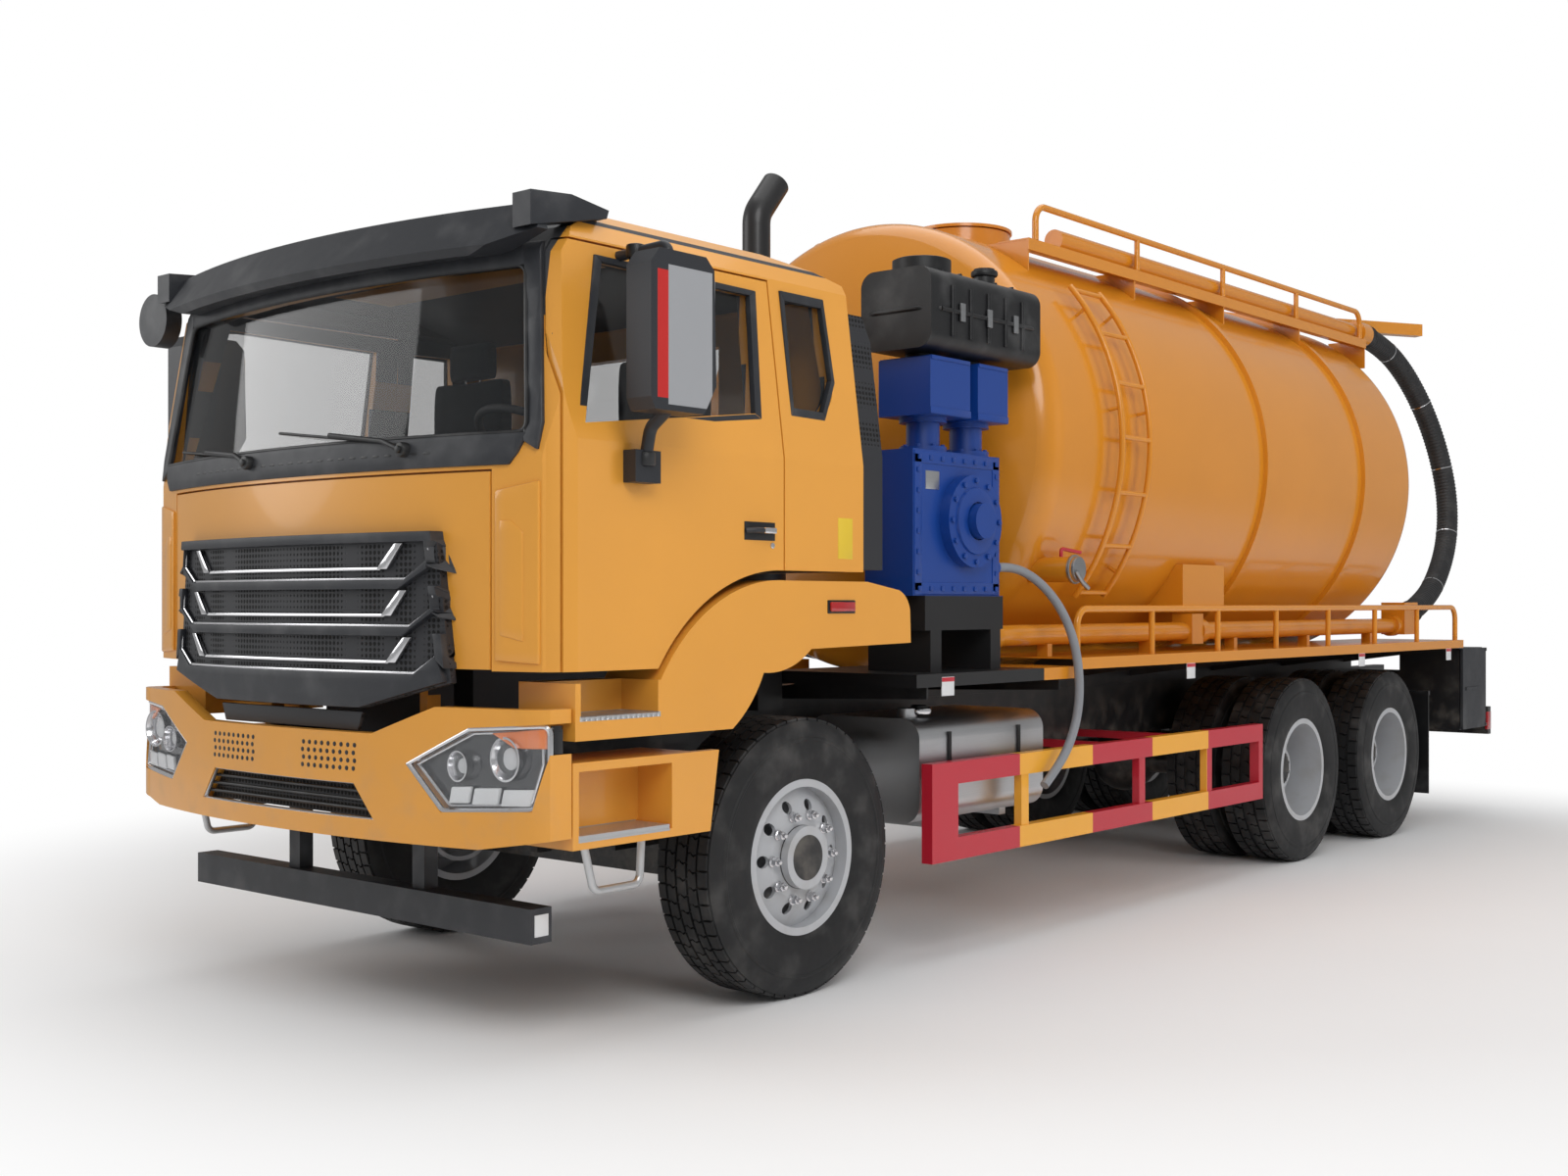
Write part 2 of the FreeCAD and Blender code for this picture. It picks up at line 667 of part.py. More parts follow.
def cab_form(name, inset):
    """The cab's outer form drawn in by inset on every face."""
    floor, arch = S.cab_floor_level + inset, S.cab_arch_level + inset
    rear, ahead = back(S.cab_rear_back) - inset, back(S.cab_nose_back) - 100
    side = [(ahead, floor), (back(S.cab_arch_front_back) - inset * 0.7, floor),
            (back(S.cab_arch_rear_back), arch, -S.cab_arch_radius), (rear, arch),
            (rear, S.roof_edge_level - inset), (back(-1200), S.roof_front_level - inset, 3600),
            (ahead, S.roof_front_level - inset)]
    width = S.cab_width / 2
    long_way = prism(name + "_side", "YZ_Plane", side, -width - 20, width + 20)
    line = side_line(inset)
    front_view = line + [(0, S.roof_level + 60 - inset)] + [(-u, z) for u, z in reversed(line)]
    cross_way = prism(name + "_front", "XZ_Plane", front_view, back(S.cab_nose_back) - 150,
                      back(S.cab_rear_back) + 20)
    half, corner = width - inset, back(S.cab_corner_back)
    depth, tuck = S.cab_corner_depth, S.cab_corner_inset
    plan = [(half, back(S.cab_rear_back) + 30), (-half, back(S.cab_rear_back) + 30), (-half, corner),
            (-half + tuck, corner - depth, 160), (-half + 250, back(S.cab_nose_back) - 60),
            (half - 250, back(S.cab_nose_back) - 60), (half - tuck, corner - depth),
            (half, corner, 160)]
    down_way = prism(name + "_plan", "XY_Plane", plan, S.cab_floor_level - 100,
                     S.roof_level + 100)
    rake = S.screen_rake
    face = [(inset, S.cab_floor_level - 100), (inset, S.belt_level),
            (rake + inset, S.screen_top_level - inset), (rake + 70 + inset, 2795 - inset),
            (300 + inset, 2865 - inset), (520 + inset, 2900 - inset), (900, S.roof_level + 40),
            (S.cab_front_radius, S.roof_level + 40), (S.cab_front_radius, S.cab_floor_level - 100)]
    return shared(name, long_way, cross_way, down_way, nose_ring(name + "_nose", face))


def side_slab(name, depth):
    """Everything outside a surface that lies this deep in the left wall."""
    wide = S.cab_width / 2 + 60
    line = side_line(depth)[:3]
    outline = line + [(line[2][0], S.roof_level), (wide, S.roof_level), (wide, line[0][1])]
    return prism(name, "XZ_Plane", outline, back(S.cab_nose_back) - 50, back(S.cab_rear_back) + 30)


def door_outline(gap):
    """Side-view outline of the door opening, let out by gap."""
    front, rear = back(S.door_front_back) - gap, back(S.door_rear_back) + gap
    return [(front, S.cab_floor_level - 50), (rear, S.cab_floor_level - 50),
            (rear, S.roof_edge_level - 55 + gap), (front, S.roof_edge_level - 55 + gap)]


def door_window():
    """Side-view outline of the door's window."""
    return [(back(-1200), 2125), (back(-335), 2230), (back(-315), 2680), (back(-1070), 2690)]


def quarter_window():
    """Side-view outline of the small window behind the door."""
    return [(back(-118), 2265), (back(60), 2262), (back(135), 2400, 150), (back(105), 2695),
            (back(-120), 2690)]


def screen_outline():
    """Front-view outline of the windscreen."""
    return [(-1130, 2085), (1130, 2085), (1045, 2672), (-1045, 2672)]


def lid_outline(gap):
    """Front-view outline of the front lid, let out by gap."""
    half, low, high = S.lid_half_width + gap, S.lid_bottom_level - gap, S.belt_level - 45 + gap
    return [(-half, low), (half, low), (half, high), (-half, high)]


def across(name, outline):
    """A side-view outline as a cutter right across the truck."""
    wide = S.cab_width / 2 + 80
    return prism(name, "YZ_Plane", outline, -wide, wide)


def lengthwise(name, outline, start, end):
    """A front-view outline as a cutter between two places along the truck."""
    return prism(name, "XZ_Plane", outline, back(start), back(end))


def half_space(name):
    """The truck's left half, as a box."""
    return block(name, 0, S.cab_width, back(-1900), back(900), 900, 3400)


def make_cab():
    """Shell, windows, doors and front lid, cut from one form with real wall thicknesses."""
    outer = cab_form("cab_outer", size(0))
    inner = cab_form("cab_inner", S.cab_wall)
    wall = cut("cab_wall", outer, inner)
    tunnel = block("tunnel_space", -S.tunnel_half_width, S.tunnel_half_width,
                   back(S.tunnel_front_back), back(S.cab_rear_back) + 10,
                   S.cab_floor_level - 60, S.tunnel_top_level)
    cover = block("tunnel_cover", -S.tunnel_half_width - 30, S.tunnel_half_width + 30,
                  back(S.tunnel_front_back) - 30, back(S.cab_rear_back) - 20,
                  S.cab_floor_level + 5, S.tunnel_top_level + 30)
    gap = S.panel_gap
    opening = shared("door_opening", side_slab("opening_slab", S.cab_wall + gap),
                     across("opening_cut", door_outline(gap)), half_space("opening_half"))
    openings = both_sides("door_openings", opening)
    screen = lengthwise("screen_cut", screen_outline(), -1700, -1150)
    quarter = across("quarter_cut", quarter_window())
    back_glass = [(-520, 2240), (520, 2240), (520, 2610), (-520, 2610)]
    rear_cut = lengthwise("rear_window_cut", back_glass, 150, 400)
    behind = cab_form("cab_behind_lid", S.lid_thickness + 6)
    pocket = shared("lid_pocket", cut("lid_pocket_skin", outer, behind),
                    lengthwise("lid_pocket_cut", lid_outline(S.panel_gap), -1700, -1300))
    shell = cut("shell_1", fused("shell_0", wall, cover), tunnel)
    for number, tool in enumerate((openings, screen, quarter, rear_cut, pocket), start=2):
        shell = cut(f"shell_{number}", shell, tool)
    keep("cab", fused("cab_shell", shell, tilt_arms()), "cab_shell")
    make_glass(screen, quarter, rear_cut)
    make_doors(outer)
    lid = shared("front_lid", cut("lid_skin", outer, cab_form("cab_lid_back", S.lid_thickness)),
                 lengthwise("lid_cut", lid_outline(size(0)), -1700, -1340))
    keep("front_lid", lid, "front_lid")


def tilt_arms():
    """The two bored arms that carry the cab on its pivots, bent back round the bumper."""
    y, z, half = back(S.tilt_back), S.tilt_level, S.tilt_arm_width / 2
    top = S.cab_floor_level + 20
    outline = [(y - 46, z, 46), (y, z - 46, 46), (y + 175, z - 40), (y + 175, top), (y + 118, top),
               (y + 118, z + 110), (y, z + 46, -135)]
    plate = prism("tilt_plate", "YZ_Plane", outline, S.tilt_arm_side - half, S.tilt_arm_side + half)
    bore = rod("tilt_bore", "x", S.tilt_pin_radius + S.running_gap, S.tilt_arm_width * 2,
               S.tilt_arm_side - S.tilt_arm_width, y, z)
    return both_sides("tilt_arms", cut("tilt_arm", plate, bore))


def glass_layer():
    """The thin layer of the cab's form that all its windows lie in."""
    return cut("glass_layer", cab_form("glass_out", S.glass_inset),
               cab_form("glass_in", S.glass_inset + S.glass_thickness))


def make_glass(*cutters):
    """Windscreen, quarter windows and rear window in their openings."""
    layer = glass_layer()
    panes = [shared(f"pane_{number}", layer, cutter) for number, cutter in enumerate(cutters)]
    keep("cab", fused("cab_glass", *panes), "cab_glass")


def make_doors(outer):
    """Both doors with their glass."""
    window = across("door_window_cut", door_window())
    slab = shared("door_slab", outer, side_slab("door_side", S.cab_wall),
                  across("door_cut", door_outline(size(0))), half_space("door_half"))
    door = cut("door_source", slab, window)
    pane = shared("door_pane", doc.getObject("glass_layer"), window, half_space("pane_half"))
    for label, source in (("left_door", door), ("left_door_glass", pane)):
        keep("left_door", copied(label, source), label)
        other = label.replace("left", "right")
        keep("right_door", copied(other, mirrored(other + "_flip", source)), other)


def make_grille():
    """The black grille on the lid, hanging below it between the bumper's shoulders."""
    deep = 55
    ring = nose_ring("grille_ring", [(-0.3, 1150), (-deep, 1150), (-deep, 1800), (-0.3, 1800)])
    outline = [(-450, 1165), (450, 1165), (850, 1258), (785, 1770), (-785, 1770), (-850, 1258)]
    keep("front_lid", shared("grille", ring, lengthwise("grille_cut", outline, -1700, -1300)),
         "grille")


def make_visor():
    """The sun visor: a deep curved blade over the windscreen with ends swept back."""
    blade = nose_ring("visor_ring", [(S.screen_rake + 10, 2705), (-5, 2690), (-30, 2715),
                                     (60, 2860), (190, 2895), (S.screen_rake + 120, 2800)])
    trim = [(-1165, 2760), (-900, 2690), (900, 2690), (1165, 2760), (1120, 2900), (-1120, 2900)]
    front = shared("visor_front", blade, lengthwise("visor_cut", trim, -1700, -1295))
    wing = prism("visor_wing", "YZ_Plane",
                 [(back(-1370), 2765), (back(-1030), 2840), (back(-1020), 2870),
                  (back(-1190), 2895), (back(-1370), 2880)], 1075, 1165)
    whole = fused("visor_whole", front, both_sides("visor_wings", wing))
    keep("cab", cut("sun_visor", whole, doc.getObject("cab_outer")), "sun_visor")


def make_louvres():
    """Tall black intake panels on the rear corners of the cab."""
    rear = back(S.cab_rear_back)
    outline = [(rear, S.cab_arch_level + 10), (rear + 150, S.cab_arch_level + 10),
               (rear + 150, 2590), (rear + 110, 2690), (rear, 2690)]
    panel = prism("louvre_panel", "YZ_Plane", outline, 860, S.cab_width / 2 - 20)
    lean = [(800, 1600), (1235, 1600), (1235, 2080), (1150, 2720), (800, 2720)]
    keep("cab", both_sides("intake_louvres", shared("louvre", panel,
         lengthwise("louvre_lean", lean, 200, 500))), "intake_louvres")


def make_cab_interior():
    """Dashboard with steering column, two seats, and the steering wheel."""
    deck = [(back(-1425), 1362), (back(-1290), 1362), (back(-1240), 1640), (back(-1010), 1760),
            (back(-1000), 1930), (back(-1120), 2010), (back(-1420), 2030)]
    board = shared("board", prism("board_block", "YZ_Plane", deck, -1165, 1165),
                   cab_form("cab_lining", S.cab_wall + 0.3))
    lean = Rotation(Vector(1, 0, 0), -S.column_lean.value)
    column = doc.addObject("Part::Cylinder", "column")
    column.Placement = Placement(Vector(), lean)
    bind(column, Radius=38, Height=S.column_length)
    y, z = wheel_point(-S.column_length - 20.5)
    move(column, S.driver_side, y, z)
    keep("cab", fused("dashboard", board, column), "dashboard")
    seats = []
    for number, x in enumerate((-S.driver_side, S.driver_side)):
        parts = [block(f"seat_post_{number}", x - 110, x + 110, back(-640), back(-330),
                       S.cab_arch_level + S.cab_wall - 130, 1825),
                 block(f"seat_pan_{number}", x - 250, x + 250, back(-720), back(-230), 1820, 1950),
                 block(f"seat_back_{number}", x - 240, x + 240, back(-250), back(-120), 1940, 2520),
                 block(f"seat_head_{number}", x - 140, x + 140, back(-240), back(-140), 2515, 2690)]
        seats.append(fused(f"seat_{number}", *parts))
    lining = doc.getObject("cab_lining")
    keep("cab", shared("seats", fused("seat_pair", *seats), lining), "seats")


def wheel_point(along):
    """Y and Z of a point on the steering column's axis, along it from the wheel's centre."""
    tilt = math.radians(S.column_lean.value)
    y = back(S.wheel_back) + size(along) * math.sin(tilt)
    return y, S.wheel_level + size(along) * math.cos(tilt)


def make_steering_wheel():
    """Rim, hub and two spokes of the steering wheel, square to its column."""
    lean = Rotation(Vector(1, 0, 0), -S.column_lean.value)
    rim = doc.addObject("Part::Torus", "wheel_ring")
    rim.Placement = Placement(Vector(), lean)
    bind(rim, Radius1=S.wheel_radius, Radius2=15)
    move(rim, S.driver_side, back(S.wheel_back), S.wheel_level)
    centre = doc.addObject("Part::Cylinder", "wheel_hub")
    centre.Placement = Placement(Vector(), lean)
    bind(centre, Radius=62, Height=45)
    y, z = wheel_point(-20)
    move(centre, S.driver_side, y, z)
    spoke = rod("wheel_spoke", "x", 13, S.wheel_radius * 2, S.driver_side - S.wheel_radius,
                back(S.wheel_back), S.wheel_level)
    keep("steering_wheel", fused("steering_wheel", rim, centre, spoke), "steering_wheel")


def make_mirrors():
    """Door mirrors on two arms each, and the round close-view mirror on the right corner."""
    x0, y0, y1 = S.cab_width / 2 + 125, back(-1140), back(-830)
    head = [(y0 + 20, 2160), (y1 - 60, 2160), (y1, 2260), (y1 - 10, 2650), (y1 - 50, 2690),
            (y0 + 40, 2690), (y0, 2640), (y0, 2200)]
    case = prism("mirror_case", "YZ_Plane", head, x0, x0 + 115)
    y = back(-975)
    base = block("mirror_base", S.cab_width / 2 + 0.3, S.cab_width / 2 + 60, y - 60, y + 60,
                 1935, 2045)
    lower = tube("mirror_lower_arm", [(S.cab_width / 2 + 45, y, 2010), (S.cab_width / 2 + 70, y, 2120),
                                      (x0 + 60, y, 2200)], 22, 60)
    top_side = S.cab_width / 2 - S.side_lean
    upper = tube("mirror_upper_arm", [(x0 + 50, y, 2660), (x0 + 20, y, 2730),
                                      (top_side - 5, y, 2720)], 18, 30)
    arms = cut("mirror_arms", fused("mirror_frame", base, lower, upper),
               doc.getObject("cab_outer"))
    mirror = fused("mirror_source", case, arms)
    keep("left_door", copied("left_mirror", mirror), "left_mirror")
    keep("right_door", copied("right_mirror", mirrored("mirror_flip", mirror)), "right_mirror")
    x, y, z = -1285, back(-1290), 2715
    disc = rod("round_mirror_disc", "y", 110, 70, x, y - 35, z)
    stalk = tube("round_mirror_arm", [(x, y, z), (x + 90, y + 45, z + 45), (-1090, back(-1180), 2775)],
                 14, 30)
    free = cut("round_mirror_free", fused("round_mirror", disc, stalk), doc.getObject("cab_outer"))
    keep("cab", cut("front_mirror", free, BODIES["sun_visor"][1]), "front_mirror")


# ---------------------------------------------------------------- front end
def bumper_plan(inset):
    """Plan outline of the bumper drawn in by inset, open side at the rear."""
    half, nose, rear = S.bumper_half_width - inset, back(S.bumper_nose_back), back(S.bumper_side_back)
    shoulder = nose + 138 + inset
    return [(half, rear), (half, nose + 200 + inset), (half - 120, shoulder, -170),
            (0, nose + inset, -4300), (-half + 120, shoulder, -4300),
            (-half, nose + 200 + inset, -170), (-half, rear)]


def make_bumper():
    """The bumper shell with lamp openings, lower air opening and brackets to the rails."""
    low, high = S.bumper_bottom_level, S.bumper_top_level
    outer = prism("bumper_outer", "XY_Plane", bumper_plan(size(0)), low, high + 20)
    rear = back(S.bumper_side_back)
    inner_plan = bumper_plan(S.bumper_wall)
    inner_plan[0] = (inner_plan[0][0], rear + 10)
    inner_plan[-1] = (inner_plan[-1][0], rear + 10)
    inner = prism("bumper_inner", "XY_Plane", inner_plan, low - 10, high + 40)
    half, notch = S.bumper_half_width + 10, S.bumper_notch_half
    face = [(-half, low + 40), (-1000, low), (1000, low), (half, low + 40), (half, high),
            (820, high), (notch, S.bumper_notch_level), (-notch, S.bumper_notch_level),
            (-820, high), (-half, high)]
    shell = shared("bumper_skin", cut("bumper_hollow", outer, inner),
                   lengthwise("bumper_face", face, -1700, -1200))
    mouth = lengthwise("bumper_mouth", [(-540, 785), (540, 785), (440, 905), (-440, 905)],
                       -1700, -1400)
    lamp = both_sides("lamp_cuts", lengthwise("lamp_cut", lamp_outline(0.3), -1700, -1200))
    shell = cut("bumper_open", cut("bumper_mouthed", shell, mouth), lamp)
    rail_x = S.frame_width / 2
    bracket = block("bumper_bracket", rail_x - 70, rail_x - 4, back(-1507), back(S.frame_front_back),
                    930, 1030)
    brackets = both_sides("bumper_brackets", bracket)
    keep("chassis", fused("front_bumper", shell, brackets), "front_bumper")
    keep("chassis", make_lamps(), "headlamps")


def lamp_outline(gap):
    """Front-view outline of the left headlamp, let out by gap."""
    return [(690 - gap, 985), (845, 830 - gap), (1205 + gap, 850 - gap), (1275, 1135 + gap),
            (960, 1115 + gap)]


def make_lamps():
    """Both headlamp units, following the bumper's face."""
    body = shared("lamp_body", prism("lamp_plan", "XY_Plane", lamp_plan(), 700, 1300),
                  lengthwise("lamp_face", lamp_outline(0), -1700, -1200))
    return both_sides("headlamps", body)


def lamp_plan():
    """Plan outline of a lamp unit: just behind the bumper's face and 110 deep."""
    half, nose = S.bumper_half_width, back(S.bumper_nose_back)
    front = [(half - 6, nose + 212), (half - 124, nose + 146, -170), (650, nose + 50, -4300)]
    return front + [(650, nose + 172), (half - 124, nose + 246), (half - 6, nose + 280)]


def make_underrun():
    """The underrun bar below the bumper, hung from the frame rails."""
    y, z, high = back(S.underrun_back), S.underrun_level, S.underrun_height
    bar = block("underrun_tube", -S.underrun_half_width, S.underrun_half_width, y, y + 90, z, z + high)
    rail_x = S.frame_width / 2
    leg = block("underrun_leg", rail_x - 75, rail_x - 5, y + 30, y + 90, z + high - 5,
                S.frame_level - S.rail_height)
    keep("chassis", fused("underrun_bar", bar, both_sides("underrun_legs", leg)), "underrun_bar")


# ---------------------------------------------------------------- steps, arches, guards
def make_steps():
    """Lower step modules with their treads and hanging loops, on brackets from the rails."""
    front, low, high = back(-1262), 712, 1000
    outside = S.cab_width / 2
    skin = prism("step_skin", "YZ_Plane", [(front, low), (back(-605), low), (back(-560), high),
                                           (front, high)], outside - 40, outside)
    box = block("step_box", outside - 290, outside - 35, front, back(-670), low, high)
    niche = block("step_niche", outside - 170, outside + 10, back(-1235), back(-800), low + 30,
                  high - 30)
    tread = block("step_tread", outside - 175, outside - 2, back(-1240), back(-810), low + 29, low + 45)
    bracket = block("step_bracket", S.frame_width / 2, outside - 280, back(-1100), back(-1040),
                    780, 850)
    loop = tube("step_loop", [(outside - 60, back(-1160), low + 8), (outside - 55, back(-1120), 556),
                              (outside - 55, back(-905), 556), (outside - 60, back(-890), low + 8)],
                14, 35)
    module = fused("step_module", cut("step_body", fused("step_solid", skin, box), niche),
                   tread, bracket, loop)
    keep("chassis", both_sides("cab_steps", module), "cab_steps")


def make_fenders():
    """Front wheel arches and, in front of a seam, the upper steps, on each side of the chassis."""
    door_clearance = 30
    gap = S.panel_gap + door_clearance
    floor, arch = S.cab_floor_level - gap, S.cab_arch_level - gap
    front, outside = back(-1262), S.cab_width / 2
    top_rear = back(S.cab_rear_back)
    outline = [(front, 1072), (back(-500), 1072), (back(-330), 1270, 500), (back(-56), 1352, 380),
               (back(580), 1365), (back(575), 1500), (back(500), 1580, 110), (top_rear + 10, arch),
               (back(S.cab_arch_rear_back), arch),
               (back(S.cab_arch_front_back), floor, S.cab_arch_radius - gap), (front, floor)]
    outer = prism("arch_outer", "YZ_Plane", outline, outside - 270, outside + 12)
    hollow = [(back(-470), 1072), (back(-300), 1250), (back(-50), 1320), (back(560), 1335),
              (back(545), 1480), (top_rear, arch - 30), (back(-190), arch - 30),
              (back(-640), 1440), (back(-700), 1130), (back(-700), 1000), (back(-470), 1000)]
    inner = prism("arch_inner", "YZ_Plane", hollow, outside - 280, outside - 30)
    niche = block("arch_niche", outside - 170, outside + 30, back(-1238), back(-880), 1150, floor + 10)
    tread = block("arch_tread", outside - 175, outside + 6, back(-1240), back(-870), 1138, 1151)
    strut = block("arch_strut", S.frame_width / 2, outside - 260, back(-1180), back(-1140), 1085, 1125)
    strut_foot = block("arch_strut_foot", S.frame_width / 2, S.frame_width / 2 + 8, back(-1180),
                       back(-1140), 990, 1090)
    body = cut("arch_body", cut("arch_shell", outer, inner), niche)
    joint = back(S.cab_arch_front_back)
    seam = block("arch_seam", outside - 300, outside + 20, joint - 0.15, joint + 0.15, 900, arch)
    module = cut("arch_parts", fused("arch_module", body, tread, strut, strut_foot), seam)
    keep("chassis", both_sides("cab_fenders", module), "cab_fenders")


def make_wheel_guards():
    """Curved guards behind the front wheels and the flaps behind the rear ones."""
    outside = S.front_tyre_outside + 20
    outline = [(back(430), 1360), (back(490), 1360), (back(690), 900, 900), (back(735), 300),
               (back(715), 300), (back(655), 900), (back(430), 1340, 900)]
    front = prism("front_guard", "YZ_Plane", outline, outside - 340, outside)
    hanger = block("front_guard_hanger", S.frame_width / 2, outside - 330, back(655), back(675),
                   880, 940)
    y = rear_axle(2) + S.tyre_radius + 110
    flap = block("rear_flap", S.rear_tyre_outside - S.tyre_width * 2 - S.twin_gap,
                 S.rear_tyre_outside, y, y + 12, 230, 900)
    bar = block("flap_bar", S.frame_width / 2, S.rear_tyre_outside, y - 1, y + 30, 900, 930)
    keep("chassis", both_sides("wheel_guards", fused("guard_set", front, hanger, flap, bar)),
         "wheel_guards")


def rounded_box(name, x0, x1, y0, y1, z0, z1, radius):
    """A box whose long edges along the truck are rounded."""
    form = block(name + "_block", x0, x1, y0, y1, z0, z1)
    doc.recompute()
    item = doc.addObject("Part::Fillet", name)
    item.Base = form
    long_edges = [n for n, edge in enumerate(form.Shape.Edges, start=1)
                  if abs(edge.tangentAt(edge.FirstParameter).y) > 0.9]
    item.Edges = [(n, radius, radius) for n in long_edges]
    return item


def make_side_tanks():
    """Fuel tank on the left with its straps, battery and air boxes on the right."""
    x0, x1 = S.frame_width / 2 + 90, S.rear_tyre_outside - 80
    y0, y1 = back(S.fuel_front_back), back(S.fuel_front_back) + S.fuel_length
    z0, z1 = S.fuel_level, S.fuel_level + S.fuel_height
    can = rounded_box("fuel_can", x0, x1, y0, y1, z0, z1, 90)
    cap = rod("fuel_cap", "z", 45, 40, x1 - 150, y0 + 110, z1 - 2)
    shelf = [block(f"fuel_shelf_{n}", S.frame_width / 2, x1 - 80, y0 + size(d), y0 + size(d) + 50,
                   z0 - 30, z0) for n, d in enumerate((150, 730))]
    back_plates = [block(f"fuel_plate_{n}", S.frame_width / 2, S.frame_width / 2 + 30, y0 + size(d),
                         y0 + size(d) + 50, z0 - 30, S.frame_level - 120)
                   for n, d in enumerate((150, 730))]
    keep("chassis", fused("fuel_tank", can, cap, *shelf, *back_plates), "fuel_tank")
    crate = block("battery_crate", -x1, -x0 + 40, y0, y0 + 470, z0 + 20, z1)
    bottle = rod("air_bottle", "y", 125, 400, -x1 + 170, y0 + 520, z0 + 180)
    low_bottle = rod("air_bottle_back", "y", 125, 400, -x1 + 425, y0 + 520, z0 + 180)
    shelf = block("crate_shelf", -x1 + 30, -S.frame_width / 2, y0 + 10, y0 + 900, z0 + 20, z0 + 57)
    plate = block("crate_plate", -S.frame_width / 2 - 12, -S.frame_width / 2, y0 + 10, y0 + 900,
                  z0 + 20, S.frame_level - 120)
    keep("chassis", fused("battery_box", crate, bottle, low_bottle, shelf, plate), "battery_box")


def make_side_guards():
    """Two-rail side guards with their end plates, posts and arms to the frame."""
    x1 = S.deck_half_width - 8
    x0 = x1 - S.guard_depth
    y0, y1 = back(S.guard_front_back), rear_axle(1) - S.tyre_radius - 105
    low, high, bar = S.guard_bottom_level, S.guard_top_level, S.guard_tube
    pieces = [block("guard_low", x0, x1, y0, y1, low, low + bar),
              block("guard_high", x0, x1, y0, y1, high - bar, high),
              block("guard_front", x0, x1, y0, y0 + 190, low, high),
              block("guard_rear", x0, x1, y1 - 50, y1, low, high)]
    for number, share in enumerate((0.22, 0.56, 0.79)):
        y = y0 + (y1 - y0) * share
        pieces.append(block(f"guard_post_{number}", x0 + 8, x1 - 8, y, y + 60, low + 10, high - 10))
        if number:
            pieces.append(block(f"guard_arm_{number}", S.frame_width / 2, x0 + 4, y + 5, y + 45,
                                high - 70, high - 30))
    keep("chassis", both_sides("side_guards", fused("guard_set_left", *pieces)), "side_guards")


def make_exhaust():
    """The exhaust stack behind the cab with its silencer low on the frame."""
    x, y = 430, back(560)
    can = rod("silencer", "z", 130, 620, x, y, 1330)
    foot = block("silencer_foot", x - 110, x + 90, y - 90, y + 70, S.frame_level + 0.3, 1331)
    stack = tube("stack_pipe", [(x, y, 1940), (x, y, 3240), (x, y + 130, 3400)], 62, 120)
    keep("chassis", fused("exhaust_stack", can, foot, stack), "exhaust_stack")


def make_tool_boxes():
    """Two hollow tool boxes at the rear with their side doors."""
    y1 = rear_end() - S.box_to_bumper
    y0, z0, z1 = y1 - S.box_length, S.box_level, S.box_level + S.frame_level - S.box_level + 150
    x1, wall = S.deck_half_width - 30, S.box_wall
    x0 = x1 - S.box_width
    gap = S.panel_gap
    crate = block("box_crate", x0, x1, y0, y1, z0, z1)
    space = block("box_space", x0 + wall, x1 + 10, y0 + wall, y1 - wall, z0 + wall, z1 - wall)
    bracket = block("box_bracket", S.frame_width / 2, x0 + 2, y0 + 120, y0 + 200, 780, 1040)
    eyes = []
    for number, z in enumerate((z0 + 4, z1 - 28)):
        lug = block(f"box_lug_{number}", x1 - 10, x1 + 26, y1 - 0.5, y1 + 26, z, z + 24)
        hole = rod(f"box_hole_{number}", "z", 8 + S.running_gap, 40, x1 + 15, y1 + 15, z - 8)
        eyes.append(cut(f"box_eye_{number}", lug, hole))
    keep("chassis", both_sides("tool_boxes", fused("box_left", cut("box_shell", crate, space),
                                                   bracket, *eyes)), "tool_boxes")
    leaf = block("box_leaf", x1 + 6, x1 + 24, y0 + gap / 2, y1 - 6, z0 + gap / 2, z1 - gap / 2)
    tab = block("box_tab", x1 + 9, x1 + 21, y1 - 8, y1 + 12, z0 + 60, z1 - 60)
    hinge = rod("box_hinge", "z", 8, z1 - z0 - 16, x1 + 15, y1 + 15, z0 + 8)
    handle = block("box_handle", x1 + 20, x1 + 30, y0 + 60, y0 + 320, (z0 + z1) / 2 - 12,
                   (z0 + z1) / 2 + 12)
    door = fused("box_door_source", leaf, tab, hinge, handle)
    keep("left_box_door", copied("left_box_door", door), "left_box_door")
    keep("right_box_door", copied("right_box_door", mirrored("box_door_flip", door)),
         "right_box_door")


def make_rear_bumper():
    """The rear underrun beam with its lamp housings and legs to the frame."""
    y1, z = rear_end(), S.rear_bumper_level
    beam = block("rear_beam", -S.rear_tyre_outside, S.rear_tyre_outside, y1 - 60, y1, z,
                 z + S.rear_bumper_height)
    leg = block("rear_leg", S.frame_width / 2 - 70, S.frame_width / 2 - 4, y1 - 130, y1 - 55, z + 60,
                S.frame_level - S.rail_height)
    lamp = block("rear_lamp", S.rear_tyre_outside - 420, S.rear_tyre_outside - 30, y1 - 95, y1 - 59,
                 z + 40, z + S.rear_bumper_height + 90)
    keep("chassis", fused("rear_bumper", beam, both_sides("rear_legs", leg),
                          both_sides("rear_lamps", lamp)), "rear_bumper")


# ---------------------------------------------------------------- tank and walkways
def head_arcs(seam, direction):
    """Nose Y and join point of a dished head: crown arc and knuckle arc tangent to each other."""
    crown, knuckle, radius = S.crown_radius, S.knuckle_radius, S.tank_radius
    reach = crown - knuckle
    offset = root(reach * reach - (radius - knuckle) * (radius - knuckle))
    nose = seam + (crown - offset) * direction
    join_y = seam + offset * direction * knuckle / reach
    join_r = (radius - knuckle) + knuckle * (radius - knuckle) / reach
    return nose, join_y, join_r


def tank_seams():
    """Y of the front and rear head seams."""
    return back(S.tank_front_back), rear_end() - S.tank_rear_gap


